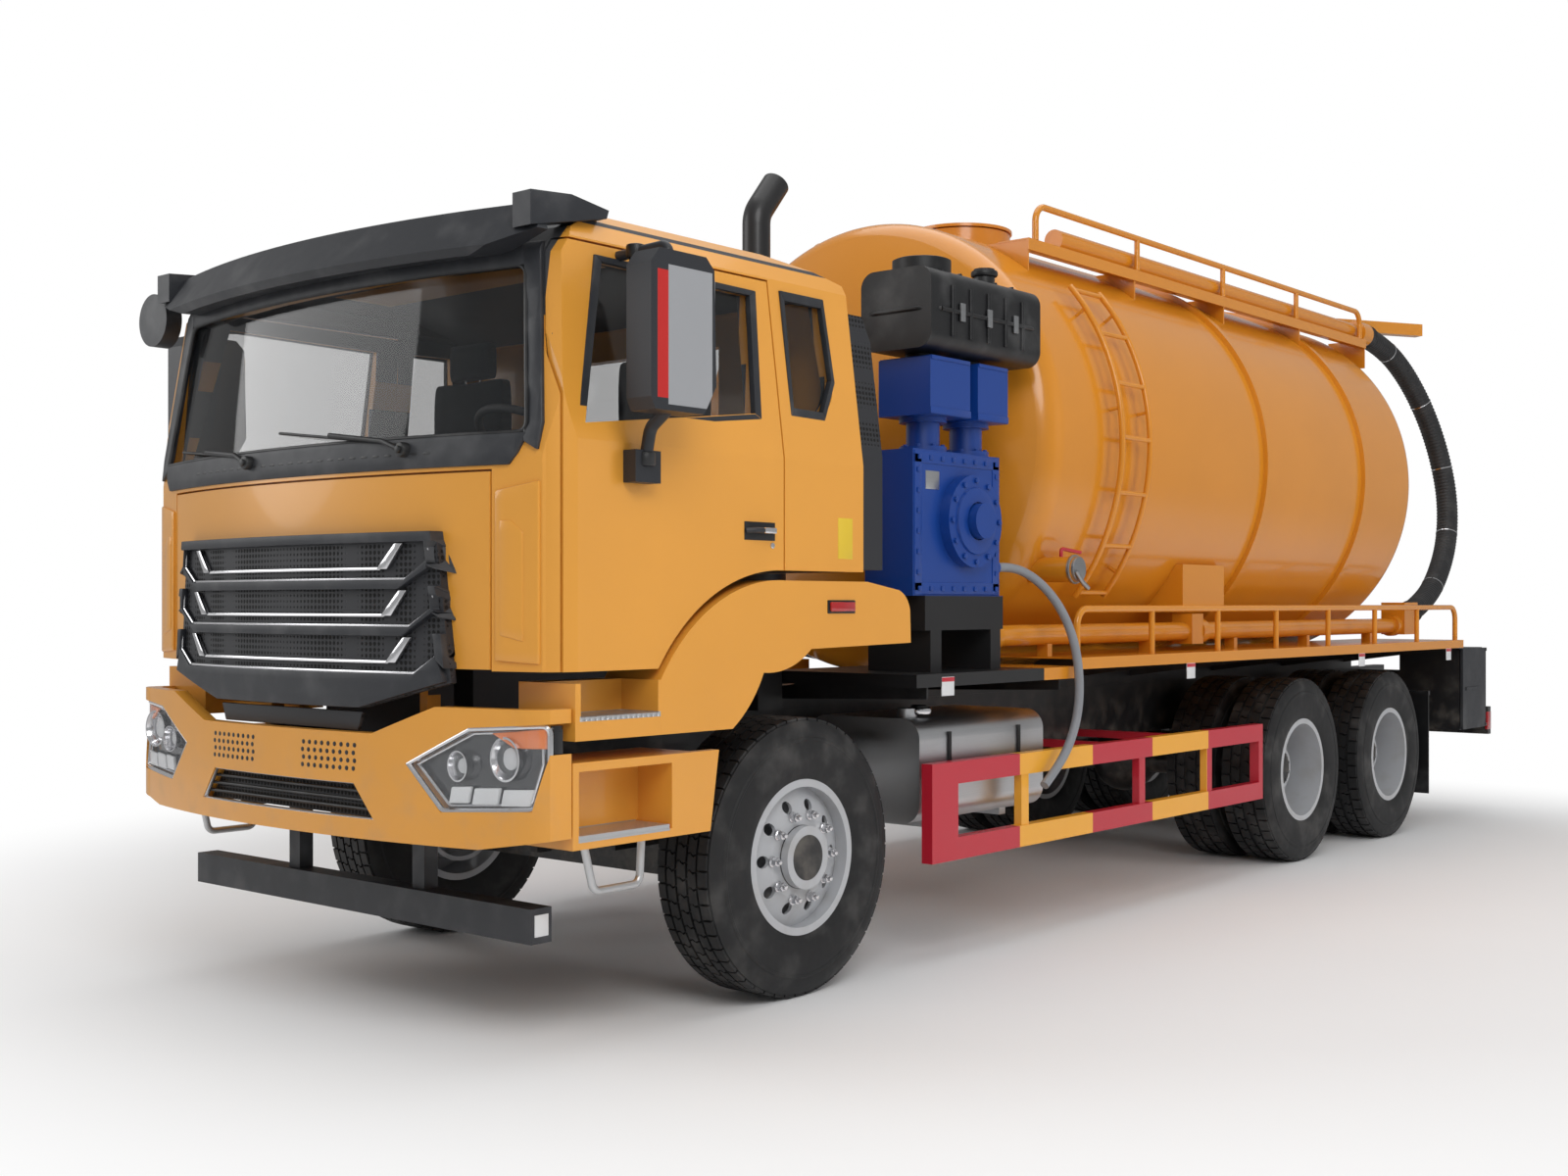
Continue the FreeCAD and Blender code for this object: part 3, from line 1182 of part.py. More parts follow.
def tank_core():
    """A cylinder just over the tank's radius, used to fit what seats on the tank."""
    front, rear = tank_seams()
    return rod("tank_core", "y", S.tank_radius + 0.3, rear - front + 200, 0, front - 100,
               S.tank_level)


def make_tank():
    """The tank with dished heads, ribs, saddles and manhole neck, and its lid."""
    front, rear = tank_seams()
    nose0, join0, ring0 = head_arcs(front, -1)
    nose1, join1, ring1 = head_arcs(rear, 1)
    radius = S.tank_radius
    outline = [(nose0, 0), (nose1, 0), (join1, ring1, S.crown_radius),
               (rear, radius, S.knuckle_radius), (front, radius),
               (join0, ring0, S.knuckle_radius)]
    outline[0] = (nose0, 0, S.crown_radius)
    shell = turned("tank_barrel", "YZ_Plane", outline, "H_Axis", 0, 0, S.tank_level)
    ribs = [rod(f"tank_rib_{n}", "y", radius + S.rib_height, S.rib_width, 0,
                front + (rear - front) * share, S.tank_level)
            for n, share in enumerate((0.495, 0.82))]
    saddles = [block(f"saddle_{n}", -S.frame_width / 2, S.frame_width / 2,
                     front + (rear - front) * share, front + (rear - front) * share + 120,
                     S.frame_level + S.subframe_height, S.tank_level - radius + 130)
               for n, share in enumerate((0.06, 0.35, 0.64, 0.92))]
    y = back(S.manhole_back)
    neck = cut("manhole_neck", rod("neck_wall", "z", S.manhole_radius, S.manhole_level - 3350, 0, y, 3350),
               rod("neck_space", "z", S.manhole_radius - 22, 400, 0, y, 3400))
    body = cut("tank_opened", fused("tank_closed", shell, *ribs, *saddles),
               rod("manhole_hole", "z", S.manhole_radius - 22, 400, 0, y, 3400))
    pin_y, pin_z = y + S.manhole_radius + 40, S.manhole_level + 14
    pin = rod("lid_pin", "x", 8, 160, -80, pin_y, pin_z)
    posts = []
    for number, x in enumerate((-80, 66)):
        posts += [block(f"lid_foot_{number}", x, size(x) + 14, y + S.manhole_radius - 12, pin_y + 14,
                        S.manhole_level - 60, S.manhole_level),
                  block(f"lid_post_{number}", x, size(x) + 14, y + S.manhole_radius + 18,
                        pin_y + 14, S.manhole_level - 1, pin_z + 14)]
    keep("chassis", fused("tank_shell", body, neck, pin, *posts), "tank_shell")
    lid = rod("lid_plate", "z", S.manhole_radius + 10, 16, 0, y, S.manhole_level + 6)
    knuckle = block("lid_knuckle", -58, 58, y + S.manhole_radius - 10, pin_y + 14,
                    S.manhole_level + 6, pin_z + 14)
    hole = rod("lid_hole", "x", 8 + S.running_gap, 160, -80, pin_y, pin_z)
    keep("manhole_lid", cut("manhole_lid", fused("lid_whole", lid, knuckle), hole), "manhole_lid")


def make_walkways(core):
    """Side walkways at deck height and the two narrow ones along the tank's top."""
    outside, top = S.deck_half_width, S.deck_level
    y0, y1, y2 = back(S.deck_front_back), back(S.deck_yellow_back), deck_rear()
    front_deck = block("deck_black", S.frame_width / 2 + 2, outside, y0, y1, top - S.deck_thickness - 40,
                       top - 40)
    main_deck = block("deck_yellow", S.deck_inside, outside, y1 + 0.3, y2, top - 8, top)
    kerb = block("deck_kerb", outside - 10, outside, y1 + 0.3, y2, top - S.deck_thickness, top)
    front, rear = tank_seams()
    edge, high = S.platform_half_width, S.platform_level
    plate = block("platform_plate", S.platform_inside, edge, front + 320, rear + 300, high - 8, high)
    lip = block("platform_lip", edge - 12, edge, front + 320, rear + 300,
                high - S.platform_thickness, high)
    gussets = [block(f"platform_gusset_{n}", 480, edge - 6, y, y + 10, high - 200, high - 4)
               for n, y in enumerate([front + 322 + (rear - front - 36) / 4 * k for k in range(5)])]
    platform = cut("platform_left", fused("platform_solid", plate, lip, *gussets), core)
    keep("chassis", fused("walkways", both_sides("decks", fused("deck_left", front_deck, main_deck, kerb)),
                          both_sides("platforms", platform)), "walkways")


def hand_rail(name, x, y0, y1, foot, top, count):
    """A rail bent down at both ends, with upright posts between."""
    bar = tube(name + "_bar", [(x, y0, foot), (x, y0, top), (x, y1, top), (x, y1, foot)],
               S.rail_tube, 85)
    posts = [rod(f"{name}_post_{n}", "z", S.rail_tube * 0.9, size(top) - foot, x,
                 y0 + (size(y1) - y0) / (count + 1) * (n + 1), foot) for n in range(count)]
    return both_sides(name, fused(name + "_left", bar, *posts))


def make_handrails():
    """Rails along the walkways and along the tank's top."""
    low = hand_rail("deck_rail", S.deck_half_width - 40, back(S.deck_yellow_back + 22), deck_rear() - 60,
                    S.deck_level + 0.3, S.deck_rail_level, 6)
    front, rear = tank_seams()
    high = hand_rail("top_rail", S.platform_half_width - 11, front + 400, rear + 210,
                     S.platform_level + 0.3, S.top_rail_level, 3)
    keep("chassis", fused("handrails", low, high), "handrails")


def make_ladder():
    """The ladder that hugs the tank's left side: two bent rails, seven rungs and six stays."""
    reach, z0 = S.tank_radius.value + 62, S.tank_level.value
    low, high = math.radians(-39), math.radians(41)
    y0, y1 = back(2390).value, back(2670).value

    def spot(angle, y):
        return Vector(reach * math.cos(angle), y, z0 + reach * math.sin(angle))

    middle = (low + high) / 2
    ends = [Part.Arc(spot(low, y), spot(middle, y), spot(high, y)).toShape() for y in (y0, y1)]
    rails = [pipe(Part.Wire([edge]), 15) for edge in ends]
    rungs = [Part.makeCylinder(12, y1 - y0, spot(angle, y0), Vector(0, 1, 0))
             for angle in [low + 0.02 + (high - low - 0.04) / 6 * n for n in range(7)]]
    stays = []
    for angle in (low + 0.12, middle + 0.12, high - 0.12):
        for y in (y0, y1):
            foot = spot(angle, y)
            inward = Vector(-math.cos(angle), 0, -math.sin(angle))
            stays.append(Part.makeCylinder(9, 61.5, foot, inward))
    whole = rails[0].multiFuse(rails[1:] + rungs + stays)
    keep("chassis", solid("side_ladder", whole), "side_ladder")


# ---------------------------------------------------------------- pump set and piping
def make_pump():
    """The vacuum pump with its flanged risers and square chambers, on its stand."""
    x1, y0, z0 = S.pump_side, back(S.pump_front_back), S.pump_level
    y1, z1 = y0 + S.pump_length, z0 + S.pump_height
    x0 = x1 - 260
    deck_top = S.deck_level - 40
    stand = [block("pump_stand", x0 - 60, x1 + 20, y0 + 60, y1, z0 - 150, z0),
             block("pump_leg_0", x0 - 60, x1 + 20, y0 + 100, y0 + 180, deck_top + 0.3, z0 - 149),
             block("pump_leg_1", x0 - 60, x1 + 20, y1 - 100, y1 - 20, deck_top + 0.3, z0 - 149)]
    body = block("pump_body", x0, x1, y0, y1, z0, z1)
    cover = rod("pump_cover", "x", 205, 52, x1 - 2, y0 + 400, z0 + 330)
    boss = rod("pump_boss", "x", 78, 60, x1 + 45, y0 + 400, z0 + 330)
    outlet = rod("pump_outlet", "y", 34, 24.5, x1 - 40, y1 - 1, z0 + 130)
    risers = []
    for number, (y, wide) in enumerate(((y0 + 235, 150), (y0 + 565, 120))):
        risers += [rod(f"riser_{number}", "z", 74, 160, x0 + 140, y, z1 - 5),
                   rod(f"riser_flange_{number}", "z", 105, 24, x0 + 140, y, z1),
                   rod(f"riser_top_flange_{number}", "z", 105, 24, x0 + 140, y, z1 + 130),
                   block(f"chamber_{number}", x0 + 10, x1 + 30, y - wide, y + wide, z1 + 153, z1 + 400)]
    keep("chassis", fused("vacuum_pump", *stand, body, cover, boss, outlet, *risers), "vacuum_pump")


def make_air_box():
    """The black air filter box on top of the pump's chambers, with cap and intake."""
    x1, y0 = S.pump_side + 75, back(S.pump_front_back) + 30
    z0 = S.pump_level + S.pump_height + 432
    box = rounded_box("air_case", x1 - 380, x1, y0, y0 + 860, z0, z0 + 350, 70)
    necks = [rod(f"air_neck_{n}", "z", 70, 42, x1 - 205, y0 + size(d), z0 - 32)
             for n, d in enumerate((205, 535))]
    dome = rod("air_dome", "z", 130, 70, x1 - 190, y0 + 190, z0 + 340)
    cap = rod("air_rain_cap", "z", 48, 90, x1 - 150, y0 + 620, z0 + 345)
    keep("chassis", fused("air_filter_box", box, dome, cap, *necks), "air_filter_box")


def end_lean(start, following):
    """How far the tilted end face of the hose reaches past its route's end, with its seat."""
    way = Vector(*following).sub(Vector(*start)).normalize()
    return S.hose_radius * math.sqrt(1 - way.y * way.y) + 0.3


def make_piping(core):
    """Walkway main, its couplings and supports, the side valve, hopper and top main."""
    side, level, radius = S.deck_pipe_side, S.deck_pipe_level, S.deck_pipe_radius
    front, rear = tank_seams()
    y0, y1 = back(1500), rear + 150
    main = rod("main_pipe", "y", radius, y1 - y0, side, y0, level)
    collars = [rod(f"main_collar_{n}", "y", radius + 20, 70, side, y0 + (y1 - y0 - 70) * share, level)
               for n, share in enumerate((0, 0.42, 1))]
    feet = [block(f"main_foot_{n}", side - 30, side + 30, y0 + 500 + size(1000) * n,
                  y0 + 540 + size(1000) * n, S.deck_level + 0.3, level - radius + 6) for n in range(5)]
    end = HOSE_BOTTOM
    coupling = block("hose_socket", end[0] - 82, end[0] + 82, y1 - 2,
                     back(end[1]) - end_lean(SUCTION_ROUTE[-1], SUCTION_ROUTE[-2]), level - 60,
                     end[2] + 84)
    valve = block("main_valve", side - 60, side + 60, back(3430), back(3560), level - 70, level + 95)
    hopper = cut("hopper", block("hopper_block", 560, 1040, back(3360), back(3850), 1500, 1740), core)
    valve_side = cut("side_valve", rod("side_valve_body", "x", 62, 330, 860, back(2010), 1690), core)
    start = HOSE_TOP
    last = back(start[1]) - end_lean(SUCTION_ROUTE[0], SUCTION_ROUTE[1])
    top = rod("top_main", "y", 56, last - (front + 700), start[0], front + 700, start[2])
    top_feet = [block(f"top_foot_{n}", start[0] - 30, start[0] + 30, y, y + 40, S.platform_level + 0.3,
                      start[2] - 40) for n, y in enumerate((front + 760, rear + 200))]
    lump = rod("top_socket", "y", 84, 150, start[0], last - 150, start[2])
    keep("chassis", fused("suction_pipes", main, *collars, *feet, coupling, valve, hopper, valve_side,
                          top, *top_feet, lump), "suction_pipes")


def make_hose_arm(core):
    """The arm on the tank's top rear that reaches out over the suction hose."""
    arm = doc.addObject("Part::Box", "arm_beam")
    arm.Placement = Placement(Vector(), Rotation(Vector(0, 0, 1), -30))
    bind(arm, Length=80, Width=1420, Height=85)
    move(arm, 90, back(6200), 3487)
    foot = block("arm_foot", 90, 260, back(6180), back(6290), 3400, 3489)
    keep("chassis", cut("hose_arm", fused("arm_whole", arm, foot), core), "hose_arm")


# Hoses: x, distance behind the front axle, z of each route point.
HOSE_TOP = (660, 6800, 3440)
HOSE_BOTTOM = (1000, 6740, 1450)
SUCTION_ROUTE = [HOSE_TOP, (680, 7110, 3395), (735, 7390, 3230), (810, 7590, 2960),
                 (880, 7700, 2640), (935, 7720, 2310), (970, 7610, 1995), (990, 7380, 1740),
                 (1000, 7080, 1545), HOSE_BOTTOM]
DRAIN_ROUTE = [(1070, 1486, 1690), (1075, 1610, 1700), (1130, 1725, 1650), (1205, 1800, 1540),
               (1262, 1845, 1390), (1290, 1862, 1220), (1297, 1850, 1050), (1296, 1790, 905),
               (1290, 1690, 785), (1285, 1565, 700)]


def route_radii(points):
    """For each inner point: 0.45 of the shorter run over the tangent of half the turn."""
    radii = []
    for number in range(1, len(points) - 1):
        before = points[number].sub(points[number - 1])
        after = points[number + 1].sub(points[number])
        turn = before.getAngle(after)
        radii.append(0.45 * min(before.Length, after.Length) / math.tan(turn / 2))
    return radii


def make_hose(label, route, radius):
    """A free hose as straight runs joined by arcs, with its length and radii printed."""
    points = [point(x, back(y), z) for x, y, z in route]
    radii = route_radii(points)
    path = bent_path(points, radii)
    shape = pipe(path, size(radius).value)
    share = shape.Volume / (math.pi * size(radius).value ** 2 * path.Length)
    print(f"{label}: length {path.Length:.0f} mm, volume {share:.4f} of section x length, radii",
          [round(value) for value in radii])
    keep("chassis", solid(label, shape), label)


# ---------------------------------------------------------------- the whole truck
def build():
    """Makes every sub-part in turn."""
    make_wheels()
    make_chassis_frame()
    make_engine()
    make_front_axle()
    make_rear_axles()
    make_knuckles()
    make_cab()
    make_grille()
    make_visor()
    make_louvres()
    make_cab_interior()
    make_steering_wheel()
    make_mirrors()
    make_bumper()
    make_underrun()
    make_steps()
    make_fenders()
    make_wheel_guards()
    make_side_tanks()
    make_side_guards()
    make_exhaust()
    make_tool_boxes()
    make_rear_bumper()
    core = tank_core()
    make_tank()
    make_walkways(core)
    make_handrails()
    make_ladder()
    make_pump()
    make_air_box()
    make_piping(core)
    make_hose_arm(core)
    make_hose("suction_hose", SUCTION_ROUTE, S.hose_radius)
    make_hose("drain_hose", DRAIN_ROUTE, S.drain_radius)


def check_and_write():
    """Stops on any failed object or bad shape, then writes one STEP file for each sub-part."""
    doc.recompute()
    bad = [item.Name for item in doc.Objects if "Invalid" in item.State or "Error" in item.State]
    for label, (body, item) in BODIES.items():
        if item.Shape.isNull() or not item.Shape.isValid() or not item.Shape.Solids:
            bad.append(label)
    if bad:
        raise RuntimeError("failed objects: " + ", ".join(bad))
    os.makedirs("parts", exist_ok=True)
    for label, (body, item) in BODIES.items():
        item.Shape.exportStep(f"parts/{label}.step")
        print(f"{label:20s} {body:20s} {len(item.Shape.Solids):3d} solids "
              f"{item.Shape.Volume / 1e9:8.4f} m3")


build()
check_and_write()
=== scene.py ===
"""Looks of the vacuum sewage truck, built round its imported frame.

Frame: metres, +Z up, front of the truck towards -Y, the driver's side towards +X.
Every piece sits where the CAD says and rides on one of its bodies.
"""

import enum
import json
import logging
import math
from dataclasses import dataclass, field
from typing import Callable, Iterable, Sequence

import bmesh
import bpy
import numpy as np
from mathutils import Matrix, Vector
from mathutils.bvhtree import BVHTree

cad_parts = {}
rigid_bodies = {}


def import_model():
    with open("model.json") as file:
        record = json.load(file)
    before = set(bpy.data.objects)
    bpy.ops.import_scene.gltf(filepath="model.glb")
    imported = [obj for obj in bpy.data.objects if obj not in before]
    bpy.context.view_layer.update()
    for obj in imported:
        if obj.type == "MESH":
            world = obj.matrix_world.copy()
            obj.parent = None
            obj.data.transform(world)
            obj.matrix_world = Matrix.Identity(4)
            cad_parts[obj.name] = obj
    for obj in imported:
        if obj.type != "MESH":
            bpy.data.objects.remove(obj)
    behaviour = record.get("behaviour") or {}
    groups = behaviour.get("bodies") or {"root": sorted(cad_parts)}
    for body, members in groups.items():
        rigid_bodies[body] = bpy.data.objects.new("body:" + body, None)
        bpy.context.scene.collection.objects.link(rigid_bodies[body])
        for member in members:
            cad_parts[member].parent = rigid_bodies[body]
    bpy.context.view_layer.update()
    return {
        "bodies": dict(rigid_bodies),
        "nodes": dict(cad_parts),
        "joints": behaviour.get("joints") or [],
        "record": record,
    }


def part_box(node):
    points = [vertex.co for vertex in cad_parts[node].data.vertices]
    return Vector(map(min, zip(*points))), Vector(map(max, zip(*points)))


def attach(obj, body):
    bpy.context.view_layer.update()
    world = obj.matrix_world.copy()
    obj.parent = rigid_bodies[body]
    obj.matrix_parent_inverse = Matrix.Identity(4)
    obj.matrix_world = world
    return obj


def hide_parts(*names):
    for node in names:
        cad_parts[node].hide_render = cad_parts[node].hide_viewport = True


LOG = logging.getLogger("truck")
Point = Sequence[float]
Colour = tuple[float, float, float]

FRONT_AXLE = -3.14
REAR_AXLES = (1.43, 2.78)
TYRE_RADIUS = 0.5425
GUARD_BANDS = (-1.71, -1.074, -0.488, 0.122)


def back(distance: float) -> float:
    """Y of a point that lies this far behind the front axle, in metres."""
    return FRONT_AXLE + distance


class Axis(enum.Enum):
    """The three axes of the frame."""

    X = 0
    Y = 1
    Z = 2


# ------------------------------------------------------------------ shaders
class Wire:
    """One socket of a shader tree, with arithmetic.

    Args:
        graph: The tree that the socket belongs to.
        socket: The output socket.
    """

    def __init__(self, graph: "Graph", socket: bpy.types.NodeSocket) -> None:
        self.graph = graph
        self.socket = socket

    def __add__(self, other: "Wire | float") -> "Wire":
        return self.graph.math("ADD", self, other)

    def __sub__(self, other: "Wire | float") -> "Wire":
        return self.graph.math("SUBTRACT", self, other)

    def __mul__(self, other: "Wire | float") -> "Wire":
        return self.graph.math("MULTIPLY", self, other)

    def __truediv__(self, other: "Wire | float") -> "Wire":
        return self.graph.math("DIVIDE", self, other)

    def __gt__(self, other: "Wire | float") -> "Wire":
        return self.graph.math("GREATER_THAN", self, other)

    def wave(self) -> "Wire":
        """Sine of the value."""
        return self.graph.math("SINE", self, 0.0)

    def part(self) -> "Wire":
        """Fractional part of the value."""
        return self.graph.math("FRACT", self, 0.0)

    def size(self) -> "Wire":
        """Absolute value."""
        return self.graph.math("ABSOLUTE", self, 0.0)

    def ramp(self, low: float, high: float) -> "Wire":
        """0 below low, 1 above high, smooth between."""
        node = self.graph.add("ShaderNodeMapRange")
        node.interpolation_type = "SMOOTHSTEP"
        self.graph.feed(node.inputs[0], self)
        for number, value in ((1, low), (2, high), (3, 0.0), (4, 1.0)):
            node.inputs[number].default_value = value
        return Wire(self.graph, node.outputs[0])


class Graph:
    """The node tree of one material, with short calls for what the finishes share.

    Args:
        name: The material's name.
    """

    def __init__(self, name: str) -> None:
        self.material = bpy.data.materials.new(name)
        self.material.use_nodes = True
        self.tree = self.material.node_tree
        self.shader = self.tree.nodes["Principled BSDF"]

    def add(self, kind: str) -> bpy.types.Node:
        """A new node of that kind."""
        return self.tree.nodes.new(kind)

    def feed(self, socket: bpy.types.NodeSocket, value: "Wire | float | Sequence[float]") -> None:
        """Links a wire to a socket, or sets the socket's own value."""
        if isinstance(value, Wire):
            self.tree.links.new(value.socket, socket)
        else:
            socket.default_value = value

    def math(self, operation: str, first: "Wire | float", second: "Wire | float") -> Wire:
        """One Math node."""
        node = self.add("ShaderNodeMath")
        node.operation = operation
        self.feed(node.inputs[0], first)
        self.feed(node.inputs[1], second)
        return Wire(self, node.outputs[0])

    def place(self) -> Wire:
        """Object coordinates, which are the frame's metres."""
        return Wire(self, self.add("ShaderNodeTexCoord").outputs["Object"])

    def axis(self, which: Axis) -> Wire:
        """One coordinate of the place."""
        node = self.add("ShaderNodeSeparateXYZ")
        self.feed(node.inputs[0], self.place())
        return Wire(self, node.outputs[which.value])

    def noise(self, scale: float, detail: float = 3.0, stretch: Point = (1, 1, 1)) -> Wire:
        """Noise in metres, stretched by three factors."""
        mapping = self.add("ShaderNodeMapping")
        mapping.vector_type = "POINT"
        self.feed(mapping.inputs["Vector"], self.place())
        mapping.inputs["Scale"].default_value = stretch
        node = self.add("ShaderNodeTexNoise")
        self.feed(node.inputs["Vector"], Wire(self, mapping.outputs[0]))
        node.inputs["Scale"].default_value = scale
        node.inputs["Detail"].default_value = detail
        return Wire(self, node.outputs[0])

    def cells(self, scale: float, randomness: float = 1.0) -> Wire:
        """Distance to the nearest point of a Voronoi pattern."""
        node = self.add("ShaderNodeTexVoronoi")
        self.feed(node.inputs["Vector"], self.place())
        node.inputs["Scale"].default_value = scale
        node.inputs["Randomness"].default_value = randomness
        return Wire(self, node.outputs["Distance"])

    def mix(self, first: "Wire | Colour", second: "Wire | Colour", factor: "Wire | float") -> Wire:
        """A colour between two."""
        node = self.add("ShaderNodeMix")
        node.data_type = "RGBA"
        self.feed(node.inputs[0], factor)
        for number, value in ((6, first), (7, second)):
            self.feed(node.inputs[number], value if isinstance(value, Wire) else (*value, 1.0))
        return Wire(self, node.outputs[2])

    def bump(self, height: Wire, distance: float, strength: float = 1.0,
             under: "Wire | None" = None) -> Wire:
        """A normal from a height of 0 to 1 that stands for this distance in metres."""
        node = self.add("ShaderNodeBump")
        node.inputs["Strength"].default_value = strength
        node.inputs["Distance"].default_value = distance
        self.feed(node.inputs["Height"], height)
        if under is not None:
            self.feed(node.inputs["Normal"], under)
        return Wire(self, node.outputs[0])

    def close(self, **inputs: "Wire | float | Sequence[float]") -> bpy.types.Material:
        """Feeds the Principled shader; __ in a name stands for a space."""
        for name, value in inputs.items():
            self.feed(self.shader.inputs[name.replace("__", " ")], value)
        return self.material


def tint(colour: Colour, share: float) -> Colour:
    """A colour made darker, below 1, or lighter."""
    return tuple(min(1.0, part * share) for part in colour)


@dataclass(frozen=True)
class Finish:
    """What a surface is made of. Its subclasses know how to draw themselves."""

    name: str
    colour: Colour

    def material(self) -> bpy.types.Material:
        """The Blender material, made once and then looked up by name."""
        title = f"{self.name}_finish"
        found = bpy.data.materials.get(title)
        return found if found else self.draw(Graph(title))

    def draw(self, graph: Graph) -> bpy.types.Material:
        """Builds the node tree.

        Args:
            graph: An empty tree that carries the finish's name.

        Returns:
            The finished material.
        """
        raise NotImplementedError


@dataclass(frozen=True)
class Paint(Finish):
    """Sprayed paint: slight orange peel, small shifts of tone, dust on its lowest parts."""

    gloss: float = 0.30
    coat: float = 0.3
    dust: float = 0.25
    peel: float = 0.00035

    def draw(self, graph: Graph) -> bpy.types.Material:
        tone = graph.mix(tint(self.colour, 0.93), tint(self.colour, 1.06), graph.noise(1.7))
        low = graph.math("SUBTRACT", 1.0, graph.axis(Axis.Z).ramp(0.35, 1.3))
        dust = low * graph.noise(9.0, 5.0).ramp(0.42, 0.75) * self.dust
        base = graph.mix(tone, (0.30, 0.27, 0.23), dust)
        rough = graph.noise(4.0) * 0.08 + (self.gloss - 0.04) + dust * 0.5
        normal = graph.bump(graph.noise(160.0, 1.0), self.peel, 0.35)
        return graph.close(Base__Color=base, Roughness=rough, Normal=normal,
                           Coat__Weight=self.coat, Coat__Roughness=0.06)


@dataclass(frozen=True)
class Banded(Paint):
    """Paint in two colours that change along the truck."""

    other: Colour = (0.9, 0.45, 0.04)
    edges: tuple[float, ...] = ()

    def draw(self, graph: Graph) -> bpy.types.Material:
        along = graph.axis(Axis.Y)
        share = graph.math("ADD", 0.0, 0.0)
        for number, edge in enumerate(self.edges):
            step = along > edge
            share = share + step if number % 2 == 0 else share - step
        base = graph.mix(self.colour, self.other, share)
        rough = graph.noise(5.0) * 0.1 + self.gloss
        grain = graph.bump(graph.cells(900.0), 0.0002, 0.3)
        return graph.close(Base__Color=base, Roughness=rough, Normal=grain,
                           Coat__Weight=self.coat)


@dataclass(frozen=True)
class Zone:
    """A box, the same on both sides of the truck, where a surface has another finish."""

    low: Point
    high: Point
    colour: Colour
    metal: float = 0.0
    studs: float = 0.0

    def mask(self, graph: Graph) -> Wire:
        """1 inside the box and 0 outside."""
        inside = graph.math("ADD", 1.0, 0.0)
        for axis in Axis:
            place = graph.axis(axis)
            if axis is Axis.X:
                place = place.size()
            inside = inside * (place > self.low[axis.value])
            inside = inside * graph.math("LESS_THAN", place, self.high[axis.value])
        return inside


@dataclass(frozen=True)
class Zoned(Paint):
    """Paint that gives way to another finish inside some boxes."""

    zones: tuple[Zone, ...] = ()

    def draw(self, graph: Graph) -> bpy.types.Material:
        base = graph.mix(tint(self.colour, 0.94), tint(self.colour, 1.05), graph.noise(1.7))
        metal, other, raised = (graph.math("ADD", 0.0, 0.0) for _ in range(3))
        for zone in self.zones:
            share = zone.mask(graph)
            base = graph.mix(base, zone.colour, share)
            metal = metal + share * zone.metal
            raised = raised + share * zone.studs
            other = graph.math("MAXIMUM", other, share)
        height = graph.cells(42.0, 0.0).ramp(0.16, 0.34) * raised + graph.noise(160.0, 1.0) * 0.08
        rough = graph.noise(6.0) * 0.08 + (self.gloss - 0.02) + other * 0.14
        return graph.close(Base__Color=base, Roughness=rough, Metallic=metal,
                           Normal=graph.bump(height, 0.004, 0.8), Coat__Roughness=0.06,
                           Coat__Weight=graph.math("SUBTRACT", 1.0, other) * self.coat)


@dataclass(frozen=True)
class Plastic(Finish):
    """Moulded plastic with a fine leather-like grain and faint chalking."""

    rough: float = 0.48
    grain: float = 0.00025

    def draw(self, graph: Graph) -> bpy.types.Material:
        chalk = graph.noise(6.0, 4.0).ramp(0.45, 0.8) * 0.16
        base = graph.mix(self.colour, (0.25, 0.25, 0.25), chalk)
        rough = graph.noise(14.0) * 0.14 + (self.rough - 0.07)
        normal = graph.bump(graph.cells(620.0), self.grain, 0.5)
        return graph.close(Base__Color=base, Roughness=rough, Normal=normal)


@dataclass(frozen=True)
class Rubber(Finish):
    """Tyre or hose rubber: matt, a little grey with dust in its hollows."""

    rough: float = 0.62
    dust: float = 0.35

    def draw(self, graph: Graph) -> bpy.types.Material:
        dust = graph.noise(7.0, 6.0).ramp(0.45, 0.8) * self.dust
        base = graph.mix(self.colour, (0.13, 0.125, 0.12), dust)
        rough = graph.noise(26.0) * 0.12 + (self.rough - 0.06)
        normal = graph.bump(graph.noise(420.0, 3.0), 0.0003, 0.5)
        return graph.close(Base__Color=base, Roughness=rough, Normal=normal)


@dataclass(frozen=True)
class Metal(Finish):
    """Bare or plated metal, brushed along one axis."""

    rough: float = 0.3
    brush: float = 0.0001
    along: Axis = Axis.Y

    def draw(self, graph: Graph) -> bpy.types.Material:
        stretch = [240.0, 240.0, 240.0]
        stretch[self.along.value] = 6.0
        streak = graph.noise(1.0, 4.0, stretch)
        base = graph.mix(tint(self.colour, 0.85), self.colour, streak)
        rough = graph.noise(11.0) * 0.1 + streak * 0.1 + (self.rough - 0.1)
        normal = graph.bump(streak, self.brush, 0.4)
        return graph.close(Base__Color=base, Roughness=rough, Metallic=1.0, Normal=normal)


@dataclass(frozen=True)
class TreadPlate(Finish):
    """Aluminium plate with rows of raised diamonds."""

    pitch: float = 0.03

    def draw(self, graph: Graph) -> bpy.types.Material:
        turn = 2 * math.pi / self.pitch
        along, across = graph.axis(Axis.Y) * turn, graph.axis(Axis.X) * turn
        ridge = (along + across).wave() * (along - across).wave()
        height = ridge.size().ramp(0.45, 0.8)
        base = graph.mix(self.colour, tint(self.colour, 1.35), height)
        return graph.close(Base__Color=base, Metallic=1.0, Roughness=graph.noise(60.0) * 0.2 + 0.24,
                           Normal=graph.bump(height, 0.0018, 0.8))


